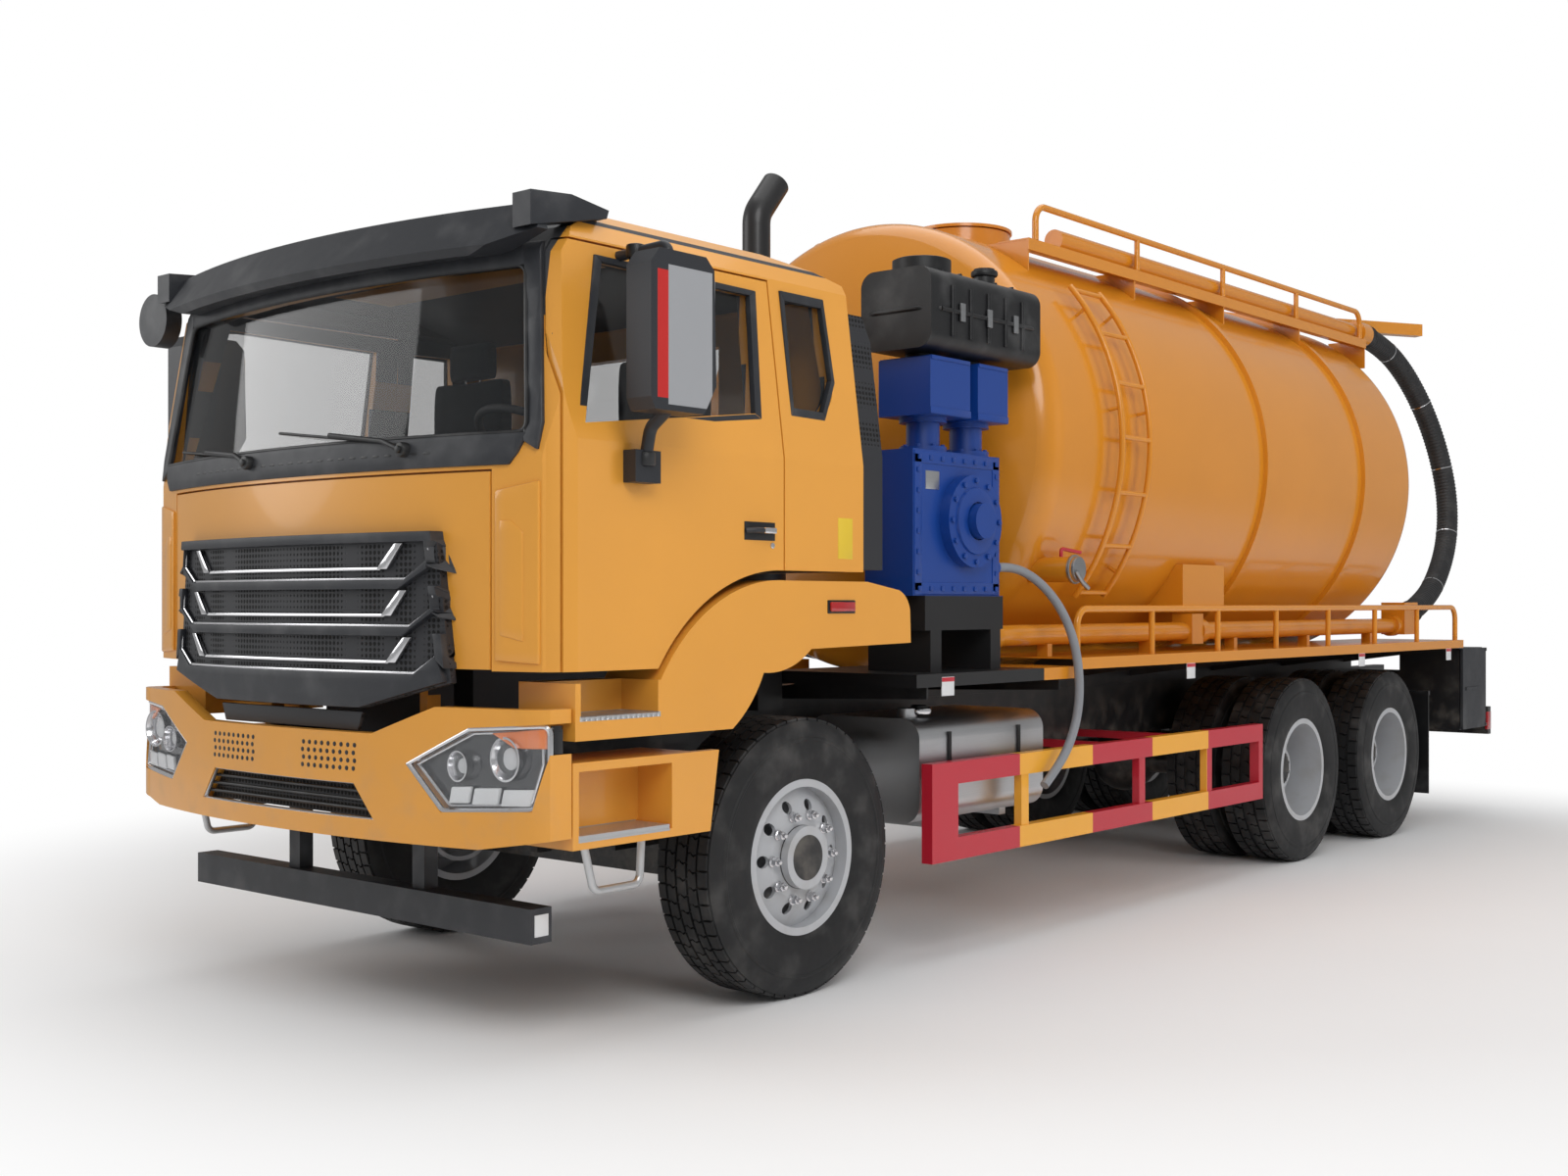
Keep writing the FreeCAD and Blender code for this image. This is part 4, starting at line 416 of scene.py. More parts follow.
@dataclass(frozen=True)
class Net(Finish):
    """Dark moulding with a pattern of small holes, whose insides are painted near-black as painted shade.
    """

    pitch: float = 0.021

    def draw(self, graph: Graph) -> bpy.types.Material:
        holes = graph.cells(1.0 / self.pitch, 0.0).ramp(0.30, 0.42)
        # Painted shade: the holes take a near-black colour for the dark seen through them; the bump gives
        # their real shape.
        base = graph.mix((0.001, 0.001, 0.001), self.colour, holes)
        normal = graph.bump(holes, 0.004, 0.9)
        return graph.close(Base__Color=base, Roughness=holes * -0.3 + 0.8, Normal=normal)


@dataclass(frozen=True)
class Glass(Finish):
    """Window or lamp glass, seen through by its alpha."""

    alpha: float = 0.4
    rough: float = 0.03

    def draw(self, graph: Graph) -> bpy.types.Material:
        film = graph.noise(3.0, 4.0).ramp(0.5, 0.9) * 0.05
        graph.material.surface_render_method = "BLENDED"
        base = graph.mix(self.colour, (0.4, 0.4, 0.4), film)
        return graph.close(Base__Color=base, Roughness=film + self.rough, Alpha=self.alpha,
                           Coat__Weight=1.0, Coat__Roughness=0.02)


@dataclass(frozen=True)
class Cloth(Finish):
    """Woven seat cloth."""

    thread: float = 0.0018

    def draw(self, graph: Graph) -> bpy.types.Material:
        turn = 2 * math.pi / self.thread
        weave = (graph.axis(Axis.X) * turn).wave() * ((graph.axis(Axis.Y) + graph.axis(Axis.Z))
                                                      * turn).wave()
        height = weave * 0.5 + 0.5
        base = graph.mix(tint(self.colour, 0.7), tint(self.colour, 1.4), height)
        base = graph.mix(base, tint(self.colour, 0.6), graph.noise(5.0).ramp(0.5, 0.8) * 0.4)
        return graph.close(Base__Color=base, Roughness=graph.noise(30.0) * 0.1 + 0.85,
                           Normal=graph.bump(height, 0.0006, 0.7), Sheen__Weight=0.3)


CAB_PAINT = Paint("cab_paint", (0.78, 0.345, 0.045))
TANK_PAINT = Paint("tank_paint", (0.68, 0.255, 0.016), gloss=0.22, peel=0.0006)
PUMP_PAINT = Paint("pump_paint", (0.004, 0.045, 0.26), gloss=0.36, peel=0.0012, coat=0.12, dust=0.05)
BLACK_PAINT = Paint("chassis_black", (0.012, 0.012, 0.013), gloss=0.42, coat=0.15, dust=0.4)
BODY_BLACK = Paint("gloss_black", (0.008, 0.008, 0.009), gloss=0.16, coat=0.8, dust=0.1)
RED_PAINT = Paint("red_paint", (0.50, 0.012, 0.03), gloss=0.35)
WHEEL_PAINT = Paint("wheel_silver", (0.44, 0.45, 0.47), gloss=0.3, coat=0.5, dust=0.3)
GREY_PLASTIC = Plastic("black_plastic", (0.022, 0.024, 0.029))
DARK_PLASTIC = Plastic("deep_plastic", (0.006, 0.0064, 0.0075), rough=0.42)
CABIN_PLASTIC = Plastic("interior_plastic", (0.10, 0.10, 0.105), rough=0.6)
WHITE_PLASTIC = Plastic("white_plastic", (0.72, 0.73, 0.74), rough=0.35, grain=0.0001)
TYRE_RUBBER = Rubber("tyre_rubber", (0.008, 0.0082, 0.009))
HOSE_RUBBER = Rubber("hose_rubber", (0.018, 0.0185, 0.02), rough=0.55, dust=0.2)
GREY_RUBBER = Rubber("hose_grey", (0.24, 0.25, 0.27), rough=0.5, dust=0.15)
CHROME = Metal("chrome", (0.80, 0.80, 0.82), rough=0.16, brush=0.00002)
STEEL = Metal("steel", (0.42, 0.43, 0.44), rough=0.42)
ALUMINIUM = Metal("aluminium", (0.62, 0.63, 0.645), rough=0.36)
IRON = Paint("engine_iron", (0.045, 0.045, 0.05), gloss=0.55, coat=0.0, peel=0.002)
TREAD_PLATE = TreadPlate("tread_plate", (0.42, 0.43, 0.44))
WINDOW_GLASS = Glass("glass", (0.012, 0.016, 0.019), alpha=0.24)
LENS_GLASS = Glass("lamp_glass", (0.75, 0.78, 0.82), alpha=0.07)
AMBER = Glass("amber_lens", (0.85, 0.20, 0.01), alpha=0.9, rough=0.08)
RED_LENS = Glass("red_lens", (0.45, 0.004, 0.008), alpha=0.92, rough=0.08)
MIRROR = Metal("mirror_glass", (0.82, 0.84, 0.86), rough=0.1, brush=0.0)
SEAT_CLOTH = Cloth("seat_fabric", (0.065, 0.07, 0.08))
STICKER = Plastic("blank_sticker", (0.75, 0.52, 0.03), rough=0.4, grain=0.00005)
NET = Net("black_net", (0.022, 0.023, 0.027))
GUARD_PAINT = Banded("guard_paint", (0.50, 0.012, 0.03), gloss=0.35, coat=0.3,
                     other=(0.86, 0.40, 0.03), edges=GUARD_BANDS)
BARE, TRIM, BLACK = (0.60, 0.61, 0.62), (0.045, 0.047, 0.052), (0.010, 0.010, 0.011)
STEP_PAINT = Zoned("step_paint", CAB_PAINT.colour, gloss=CAB_PAINT.gloss, coat=CAB_PAINT.coat, zones=(
    Zone((1.0, -9.0, 0.5), (1.3, 9.0, 0.708), BARE, 0.95),
    Zone((1.05, back(-1.236), 0.735), (1.3, back(-0.81), 0.760), BARE, 0.95, 1.0),
    Zone((1.05, back(-1.242), 1.136), (1.3, back(-0.868), 1.154), BARE, 0.95, 1.0)))
LINED_PAINT = Zoned("lined_cab_paint", CAB_PAINT.colour, gloss=CAB_PAINT.gloss, coat=CAB_PAINT.coat, zones=(
    Zone((-1.0, -4.42, 1.20), (1.215, -2.93, 2.06), TRIM),
    Zone((-1.0, -4.42, 2.06), (1.170, -2.93, 2.42), TRIM),
    Zone((-1.0, -4.42, 2.42), (1.128, -2.93, 2.835), TRIM)))
PUMP_ZONED = Zoned("pump_and_stand", PUMP_PAINT.colour, gloss=PUMP_PAINT.gloss, coat=PUMP_PAINT.coat,
                   zones=(Zone((0.0, -9.0, 0.9), (2.0, 9.0, 1.559), BLACK),))
DECK_PAINT = Zoned("deck_paint", TANK_PAINT.colour, gloss=TANK_PAINT.gloss, coat=TANK_PAINT.coat,
                   zones=(Zone((-1.0, -9.0, 0.9), (2.0, back(1.62), 1.5), BLACK),))
MIRROR_SHELL = Zoned("mirror_shell", GREY_PLASTIC.colour, gloss=0.42, coat=0.0, zones=(
    Zone((1.484, back(-1.11), 2.20), (1.6, back(-1.06), 2.62), (0.50, 0.012, 0.01)),
    Zone((1.484, back(-1.06), 2.18), (1.6, back(-0.85), 2.64), (0.42, 0.43, 0.45), 0.5)))


# ------------------------------------------------------------------ geometry
class Plane(enum.Enum):
    """Which way an outline faces: its two axes, and the axis it is drawn out along."""

    SIDE = (1, 2, 0)
    FRONT = (0, 2, 1)
    PLAN = (0, 1, 2)


@dataclass
class Piece:
    """One visible piece, gathered from bevelled primitives, which rides on a CAD body.

    Args:
        name: The piece's name.
        body: The CAD body that it rides on.
        slot: The record's material slot; not used.
        replaces: The CAD nodes that it stands for.
    """

    name: str
    body: str
    slot: str = ""
    replaces: tuple[str, ...] = ()
    finishes: list[Finish] = field(default_factory=list)
    mesh: bmesh.types.BMesh = field(default_factory=bmesh.new)

    def index(self, finish: Finish) -> int:
        """The material index of a finish on this piece."""
        if finish not in self.finishes:
            self.finishes.append(finish)
        return self.finishes.index(finish)

    def take(self, form: bmesh.types.BMesh, finish: Finish, mirror: bool = False) -> None:
        """Adds a form to the piece, and its mirror image if asked."""
        number = self.index(finish)
        for face in form.faces:
            face.material_index = number
        store = bpy.data.meshes.new("form")
        form.to_mesh(store)
        self.mesh.from_mesh(store)
        if mirror:
            bmesh.ops.scale(form, vec=(-1, 1, 1), verts=form.verts)
            bmesh.ops.reverse_faces(form, faces=form.faces)
            form.to_mesh(store)
            self.mesh.from_mesh(store)
        form.free()
        bpy.data.meshes.remove(store)

    def box(self, low: Point, high: Point, finish: Finish, bevel: float = 0.004,
            mirror: bool = False) -> None:
        """A box with rounded edges."""
        form = bmesh.new()
        bmesh.ops.create_cube(form, size=1.0)
        middle = [(a + b) / 2 for a, b in zip(low, high)]
        span = [abs(b - a) for a, b in zip(low, high)]
        bmesh.ops.scale(form, vec=span, verts=form.verts)
        bmesh.ops.translate(form, vec=middle, verts=form.verts)
        self.take(rounded(form, min(bevel, min(span) * 0.45)), finish, mirror)

    def prism(self, outline: Sequence[Point], plane: Plane, start: float, end: float,
              finish: Finish, bevel: float = 0.004, mirror: bool = False) -> None:
        """An outline drawn out between two places, with rounded edges."""
        form = bmesh.new()
        u, v, w = plane.value
        corners = []
        for point in outline:
            spot = [0.0, 0.0, 0.0]
            spot[u], spot[v], spot[w] = point[0], point[1], start
            corners.append(form.verts.new(spot))
        face = form.faces.new(corners)
        grown = bmesh.ops.extrude_face_region(form, geom=[face])
        far = [item for item in grown["geom"] if isinstance(item, bmesh.types.BMVert)]
        shift = [0.0, 0.0, 0.0]
        shift[w] = end - start
        bmesh.ops.translate(form, vec=shift, verts=far)
        bmesh.ops.recalc_face_normals(form, faces=form.faces)
        self.take(rounded(form, bevel), finish, mirror)

    def lathe(self, profile: Sequence[Point], centre: Point, axis: Axis, finish: Finish,
              steps: int = 48, mirror: bool = False) -> None:
        """A profile of (along, radius) turned round an axis; one that ends on it is closed."""
        form = bmesh.new()
        rings = []
        u, v = (axis.value + 1) % 3, (axis.value + 2) % 3
        for along, radius in profile:
            ring = []
            for number in range(steps if radius > 1e-6 else 1):
                angle = 2 * math.pi * number / steps
                spot = list(centre)
                spot[axis.value] += along
                spot[u] += radius * math.cos(angle)
                spot[v] += radius * math.sin(angle)
                ring.append(form.verts.new(spot))
            rings.append(ring)
        for first, second in zip(rings, rings[1:]):
            bridge(form, first, second, steps)
        if len(rings[0]) > 1 and len(rings[-1]) > 1 and profile[0] == profile[-1]:
            bmesh.ops.remove_doubles(form, verts=form.verts, dist=1e-6)
        bmesh.ops.recalc_face_normals(form, faces=form.faces)
        self.take(form, finish, mirror)

    def tube(self, points: Sequence[Point], radius: float, finish: Finish, bend: float = 0.05,
             sides: int = 14, mirror: bool = False) -> None:
        """A round bar along points, with its corners rounded to the bend radius."""
        form = swept(softened([Vector(p) for p in points], bend), lambda _: radius, sides)
        self.take(form, finish, mirror)

    def disc(self, centre: Point, axis: Axis, radius: float, depth: float, finish: Finish,
             edge: float = 0.004, mirror: bool = False, steps: int = 40) -> None:
        """A short cylinder with rounded rims, centred on a point."""
        half = depth / 2
        soft = min(edge, half * 0.9, radius * 0.5)
        side = [(-half, 0.0), (-half, radius - soft), (-half + soft * 0.3, radius - soft * 0.3),
                (-half + soft, radius), (half - soft, radius),
                (half - soft * 0.3, radius - soft * 0.3), (half, radius - soft), (half, 0.0)]
        self.lathe(side, centre, axis, finish, steps, mirror)

    def join(self, source: bpy.types.Object, finish: Finish) -> None:
        """Adds the mesh of a made object and removes the object."""
        form = bmesh.new()
        form.from_mesh(source.data)
        bpy.data.objects.remove(source)
        self.take(form, finish)

    def done(self, crease: float = 0.6) -> bpy.types.Object:
        for edge in self.mesh.edges:
            edge.smooth = len(edge.link_faces) == 2 and edge.calc_face_angle(0.0) < crease
        for face in self.mesh.faces:
            face.smooth = True
        data = bpy.data.meshes.new(self.name)
        self.mesh.to_mesh(data)
        self.mesh.free()
        for finish in self.finishes:
            data.materials.append(finish.material())
        made = bpy.data.objects.new(self.name, data)
        bpy.context.scene.collection.objects.link(made)
        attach(made, self.body)
        if self.replaces:
            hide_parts(*self.replaces)
        return made


def bridge(form: bmesh.types.BMesh, first: list, second: list, steps: int) -> None:
    """Faces between two rings, either of which may be a single point."""
    if len(first) == 1 and len(second) == 1:
        return
    for number in range(steps):
        following = (number + 1) % steps
        a, b = first[number % len(first)], first[following % len(first)]
        c, d = second[following % len(second)], second[number % len(second)]
        form.faces.new([v for v in dict.fromkeys((a, b, c, d))])


def rounded(form: bmesh.types.BMesh, width: float, segments: int = 2) -> bmesh.types.BMesh:
    """Bevels every sharp edge of a form."""
    sharp = [edge for edge in form.edges if edge.calc_face_angle(0.0) > 0.35]
    if width > 1e-5 and sharp:
        bmesh.ops.bevel(form, geom=sharp, offset=width, segments=segments, profile=0.5,
                        affect="EDGES", clamp_overlap=True)
    return form


def softened(points: list[Vector], bend: float, steps: int = 6) -> list[Vector]:
    """A path whose corners are arcs of about the bend radius."""
    path = [points[0]]
    for before, here, after in zip(points, points[1:], points[2:]):
        incoming, outgoing = (here - before), (after - here)
        turn = incoming.angle(outgoing, 0.0)
        if turn < 0.02:
            path.append(here)
            continue
        reach = min(bend * math.tan(turn / 2), incoming.length * 0.48, outgoing.length * 0.48)
        start, end = here - incoming.normalized() * reach, here + outgoing.normalized() * reach
        for number in range(steps + 1):
            share = number / steps
            path.append(start.lerp(here, share).lerp(here.lerp(end, share), share))
    path.append(points[-1])
    return path


def swept(path: list[Vector], radius: Callable[[float], float], sides: int) -> bmesh.types.BMesh:
    """A closed tube along a path; radius is asked for each distance along it."""
    form = bmesh.new()
    rings = []
    normal = None
    travelled = 0.0
    for number, spot in enumerate(path):
        if number:
            travelled += (spot - path[number - 1]).length
        way = (path[min(number + 1, len(path) - 1)] - path[max(number - 1, 0)]).normalized()
        if normal is None:
            normal = way.orthogonal().normalized()
        normal = (normal - way * normal.dot(way)).normalized()
        other = way.cross(normal)
        size = radius(travelled)
        rings.append([form.verts.new(spot + (normal * math.cos(angle) + other * math.sin(angle))
                                     * size)
                      for angle in (2 * math.pi * k / sides for k in range(sides))])
    for first, second in zip(rings, rings[1:]):
        bridge(form, first, second, sides)
    form.faces.new(rings[0])
    form.faces.new(rings[-1])
    bmesh.ops.recalc_face_normals(form, faces=form.faces)
    return form


def linked(name: str, form: bmesh.types.BMesh) -> bpy.types.Object:
    """A working object from a form, to be used by a modifier and then joined or removed."""
    data = bpy.data.meshes.new(name)
    form.to_mesh(data)
    form.free()
    made = bpy.data.objects.new(name, data)
    bpy.context.scene.collection.objects.link(made)
    return made


def applied(item: bpy.types.Object) -> bpy.types.Object:
    """Bakes an object's modifiers into its mesh."""
    bpy.context.view_layer.update()
    seen = item.evaluated_get(bpy.context.evaluated_depsgraph_get())
    baked = bpy.data.meshes.new_from_object(seen)
    item.modifiers.clear()
    item.data = baked
    return item


class Repeater:
    """Geometry Nodes that repeat a form round the X axis or along a line.

    The group has named inputs, and its result is baked into a mesh.
    """

    def __init__(self) -> None:
        self.tree = bpy.data.node_groups.new("repeat", "GeometryNodeTree")
        face = self.tree.interface
        face.new_socket("Geometry", in_out="INPUT", socket_type="NodeSocketGeometry")
        face.new_socket("Geometry", in_out="OUTPUT", socket_type="NodeSocketGeometry")
        self.names = {}
        for name, kind in (("Count", "NodeSocketInt"), ("Step", "NodeSocketVector"),
                           ("Turn", "NodeSocketFloat"), ("Jitter", "NodeSocketFloat"),
                           ("Finish", "NodeSocketMaterial")):
            self.names[name] = face.new_socket(name, in_out="INPUT", socket_type=kind).identifier
        self.wire()

    def node(self, kind: str, **links: bpy.types.NodeSocket) -> bpy.types.Node:
        """A node with some of its inputs linked; __ in a name stands for a space."""
        made = self.tree.nodes.new(kind)
        for name, socket in links.items():
            self.tree.links.new(socket, made.inputs[name.replace("__", " ")])
        return made

    def wire(self) -> None:
        """Points one step apart, an instance on each, made real with the finish set."""
        given = self.tree.nodes.new("NodeGroupInput").outputs
        points = self.node("GeometryNodeMeshLine", Count=given["Count"], Offset=given["Step"])
        index = self.node("GeometryNodeInputIndex")
        turn = self.tree.nodes.new("ShaderNodeMath")
        turn.operation = "MULTIPLY"
        self.tree.links.new(index.outputs[0], turn.inputs[0])
        self.tree.links.new(given["Turn"], turn.inputs[1])
        shake = self.node("FunctionNodeRandomValue", Max=given["Jitter"])
        shake.inputs["Seed"].default_value = 7
        total = self.tree.nodes.new("ShaderNodeMath")
        self.tree.links.new(turn.outputs[0], total.inputs[0])
        self.tree.links.new(shake.outputs[1], total.inputs[1])
        spin = self.node("ShaderNodeCombineXYZ", X=total.outputs[0])
        copies = self.node("GeometryNodeInstanceOnPoints", Points=points.outputs[0],
                           Instance=given["Geometry"], Rotation=spin.outputs[0])
        real = self.node("GeometryNodeRealizeInstances", Geometry=copies.outputs[0])
        coated = self.node("GeometryNodeSetMaterial", Geometry=real.outputs[0],
                           Material=given["Finish"])
        self.node("NodeGroupOutput", Geometry=coated.outputs[0])

    def repeat(self, form: bmesh.types.BMesh, count: int, finish: Finish,
               step: Point = (0, 0, 0), turn: float = 0.0, jitter: float = 0.0
               ) -> bpy.types.Object:
        """Copies of a form, each moved by step and turned about the origin's X axis.

        Args:
            form: The form to repeat.
            count: How many copies.
            finish: Their finish.
            step: Distance from one copy to the next.
            turn: Angle from one copy to the next, in radians.
            jitter: Most that a copy's angle may be off.

        Returns:
            One object with all the copies in its mesh.
        """
        item = linked("repeated", form)
        modifier = item.modifiers.new("repeat", "NODES")
        modifier.node_group = self.tree
        values = {"Count": count, "Step": step, "Turn": turn, "Jitter": jitter,
                  "Finish": finish.material()}
        for name, value in values.items():
            modifier[self.names[name]] = value
        return applied(item)


class Builder:
    """Base of every sub-assembly.

    Args:
        repeater: The Geometry Nodes helper.
        nodes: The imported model's objects by name.
    """

    def __init__(self, repeater: Repeater, nodes: dict[str, bpy.types.Object]) -> None:
        self.repeater = repeater
        self.nodes = nodes

    def ring_of(self, piece: Piece, form: bmesh.types.BMesh, count: int, finish: Finish,
                centre: Point, phase: float = 0.0, jitter: float = 0.0) -> None:
        """Adds copies of a form round an X axis through centre to a piece."""
        bmesh.ops.rotate(form, cent=(0, 0, 0), matrix=Matrix.Rotation(phase, 3, "X"),
                         verts=form.verts)
        item = self.repeater.repeat(form, count, finish, turn=2 * math.pi / count, jitter=jitter)
        item.data.transform(Matrix.Translation(Vector(centre)))
        piece.join(item, finish)

    def row_of(self, piece: Piece, form: bmesh.types.BMesh, count: int, finish: Finish,
               step: Point, mirror: bool = False) -> None:
        """Adds copies of a form in a row to a piece."""
        item = self.repeater.repeat(form, count, finish, step=step)
        kept = bmesh.new()
        kept.from_mesh(item.data)
        bpy.data.objects.remove(item)
        piece.take(kept, finish, mirror)


def block_form(low: Point, high: Point, bevel: float = 0.002) -> bmesh.types.BMesh:
    """A bevelled box as a form for repeating."""
    holder = Piece("block", "")
    holder.box(low, high, STEEL, bevel)
    return holder.mesh


def disc_form(centre: Point, axis: Axis, radius: float, depth: float, edge: float = 0.001,
              steps: int = 16) -> bmesh.types.BMesh:
    """A short cylinder as a form for repeating."""
    holder = Piece("disc", "")
    holder.disc(centre, axis, radius, depth, STEEL, edge, steps=steps)
    return holder.mesh


class Skin:
    """The surface of some CAD nodes, on which flat forms are laid.

    Args:
        nodes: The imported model's objects by name.
        names: The nodes that make the surface.
        spread: How far around a place the highest part is taken, to bridge recesses.
    """

    def __init__(self, nodes: dict[str, bpy.types.Object], names: Iterable[str],
                 spread: float = 0.0) -> None:
        self.spread = spread
        form = bmesh.new()
        for name in names:
            form.from_mesh(nodes[name].data)
        self.tree = BVHTree.FromBMesh(form)
        form.free()

    def front(self, x: float, z: float) -> float:
        """Y of the surface as seen from ahead at this place."""
        shifts = (-self.spread, 0.0, self.spread) if self.spread else (0.0,)
        return min(self.reach((x + across, -6.0, z + up), (0, 1, 0), Axis.Y)
                   for across in shifts for up in shifts)

    def side(self, y: float, z: float) -> float:
        """X of the surface as seen from the left at this place."""
        return self.reach((2.0, y, z), (-1, 0, 0), Axis.X)

    def reach(self, start: Point, way: Point, axis: Axis) -> float:
        """Where a ray meets the surface, or the nearest place to where it passes."""
        spot = self.tree.ray_cast(Vector(start), Vector(way))[0]
        if spot is None:
            along = Vector(start) + Vector(way) * (abs(start[axis.value]) - 1.3)
            spot = self.tree.find_nearest(along)[0]
        return spot[axis.value]

    def lay(self, form: bmesh.types.BMesh, axis: Axis, step: float = 0.045) -> bmesh.types.BMesh:
        """Moves a form drawn at depth 0 on to the surface, after cutting it into strips."""
        for across in (Axis.X if axis is Axis.Y else Axis.Y, Axis.Z):
            spots = [vert.co[across.value] for vert in form.verts]
            low, high = min(spots), max(spots)
            normal = [0.0, 0.0, 0.0]
            normal[across.value] = 1.0
            for number in range(1, int((high - low) / step) + 1):
                place = [0.0, 0.0, 0.0]
                place[across.value] = low + number * step
                bmesh.ops.bisect_plane(form, geom=form.verts[:] + form.edges[:] + form.faces[:],
                                       plane_co=place, plane_no=normal)
        for vert in form.verts:
            if axis is Axis.Y:
                vert.co.y += self.front(vert.co.x, vert.co.z)
            else:
                vert.co.x += self.side(vert.co.y, vert.co.z)
        return form


def flat(outline: Sequence[Point], plane: Plane, low: float, high: float,
         bevel: float = 0.003) -> bmesh.types.BMesh:
    """An outline drawn out about depth 0, to be laid on a surface."""
    holder = Piece("flat", "")
    holder.prism(outline, plane, low, high, STEEL, bevel)
    return holder.mesh


# ------------------------------------------------------------------ cab inside
class Seats(Builder):
    """Two cloth seats, each of a pan, a back and a head rest."""

    def build(self) -> None:
        """Makes every cushion; the pans stand for the CAD node."""
        low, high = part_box("seats")
        back_y = high[1]
        for number, side in enumerate((-0.6, 0.6)):
            parts = {
                "pan": ((side - 0.245, back_y - 0.59, 1.83), (side + 0.245, back_y - 0.12, 1.945)),
                "back": ((side - 0.235, back_y - 0.128, 1.95), (side + 0.235, back_y - 0.005, 2.51)),
                "head": ((side - 0.135, back_y - 0.11, 2.52), (side + 0.135, back_y - 0.015, 2.68)),
            }
            for part, (bottom, top) in parts.items():
                self.cushion(f"seat_{number}_{part}", bottom, top)
            stand = Piece(f"seat_{number}_stand", "cab", "interior_plastic")
            stand.box((side - 0.11, back_y - 0.50, 1.615), (side + 0.11, back_y - 0.22, 1.85),
                      CABIN_PLASTIC, 0.012)
            for offset in (-0.05, 0.05):
                stand.tube([(side + offset, back_y - 0.06, 2.49),
                            (side + offset, back_y - 0.06, 2.56)], 0.006, CHROME)
            stand.done()
        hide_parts("seats")

    def cushion(self, name: str, low: Point, high: Point) -> bpy.types.Object:
        """A crowned pad whose sides pull in between its corners, with a piped seam."""
        form = bmesh.new()
        bmesh.ops.create_cube(form, size=2.0)
        bmesh.ops.subdivide_edges(form, edges=form.edges[:], cuts=11, use_grid_fill=True)
        middle = (Vector(low) + Vector(high)) / 2
        half = (Vector(high) - Vector(low)) / 2
        thin = min(range(3), key=lambda axis: half[axis])
        others = [axis for axis in range(3) if axis != thin]
        for vert in form.verts:
            spot = vert.co.copy()
            crown = 1.0
            for axis in others:
                crown *= 1 - 0.42 * abs(spot[axis]) ** 3.5
            pulled = 0.965 + 0.035 * abs(spot[others[0]] * spot[others[1]])
            crease = 0.05 * math.exp(-((abs(spot[others[0]]) - 0.52) / 0.045) ** 2)
            for axis in others:
                vert.co[axis] = spot[axis] * half[axis] * pulled
            vert.co[thin] = spot[thin] * half[thin] * (crown - crease)
            vert.co += middle
        number = Piece(name, "cab", "seat_fabric")
        number.take(form, SEAT_CLOTH)
        made = number.done(2.0)
        modifier = made.modifiers.new("smooth", "SUBSURF")
        modifier.levels = modifier.render_levels = 1
        applied(made)
        return made


# ------------------------------------------------------------------ wheels
@dataclass(frozen=True)
class WheelSet:
    """One wheel body: where its tyres stand and where its disc sits.

    Args:
        body: The CAD body, which also begins its nodes' names.
        y: Place of the axle.
        tyres: X of the middle of each tyre, for the left side.
        seat: X of the disc's outer face, for the left side.
    """

    body: str
    y: float
    tyres: tuple[float, ...]
    seat: float


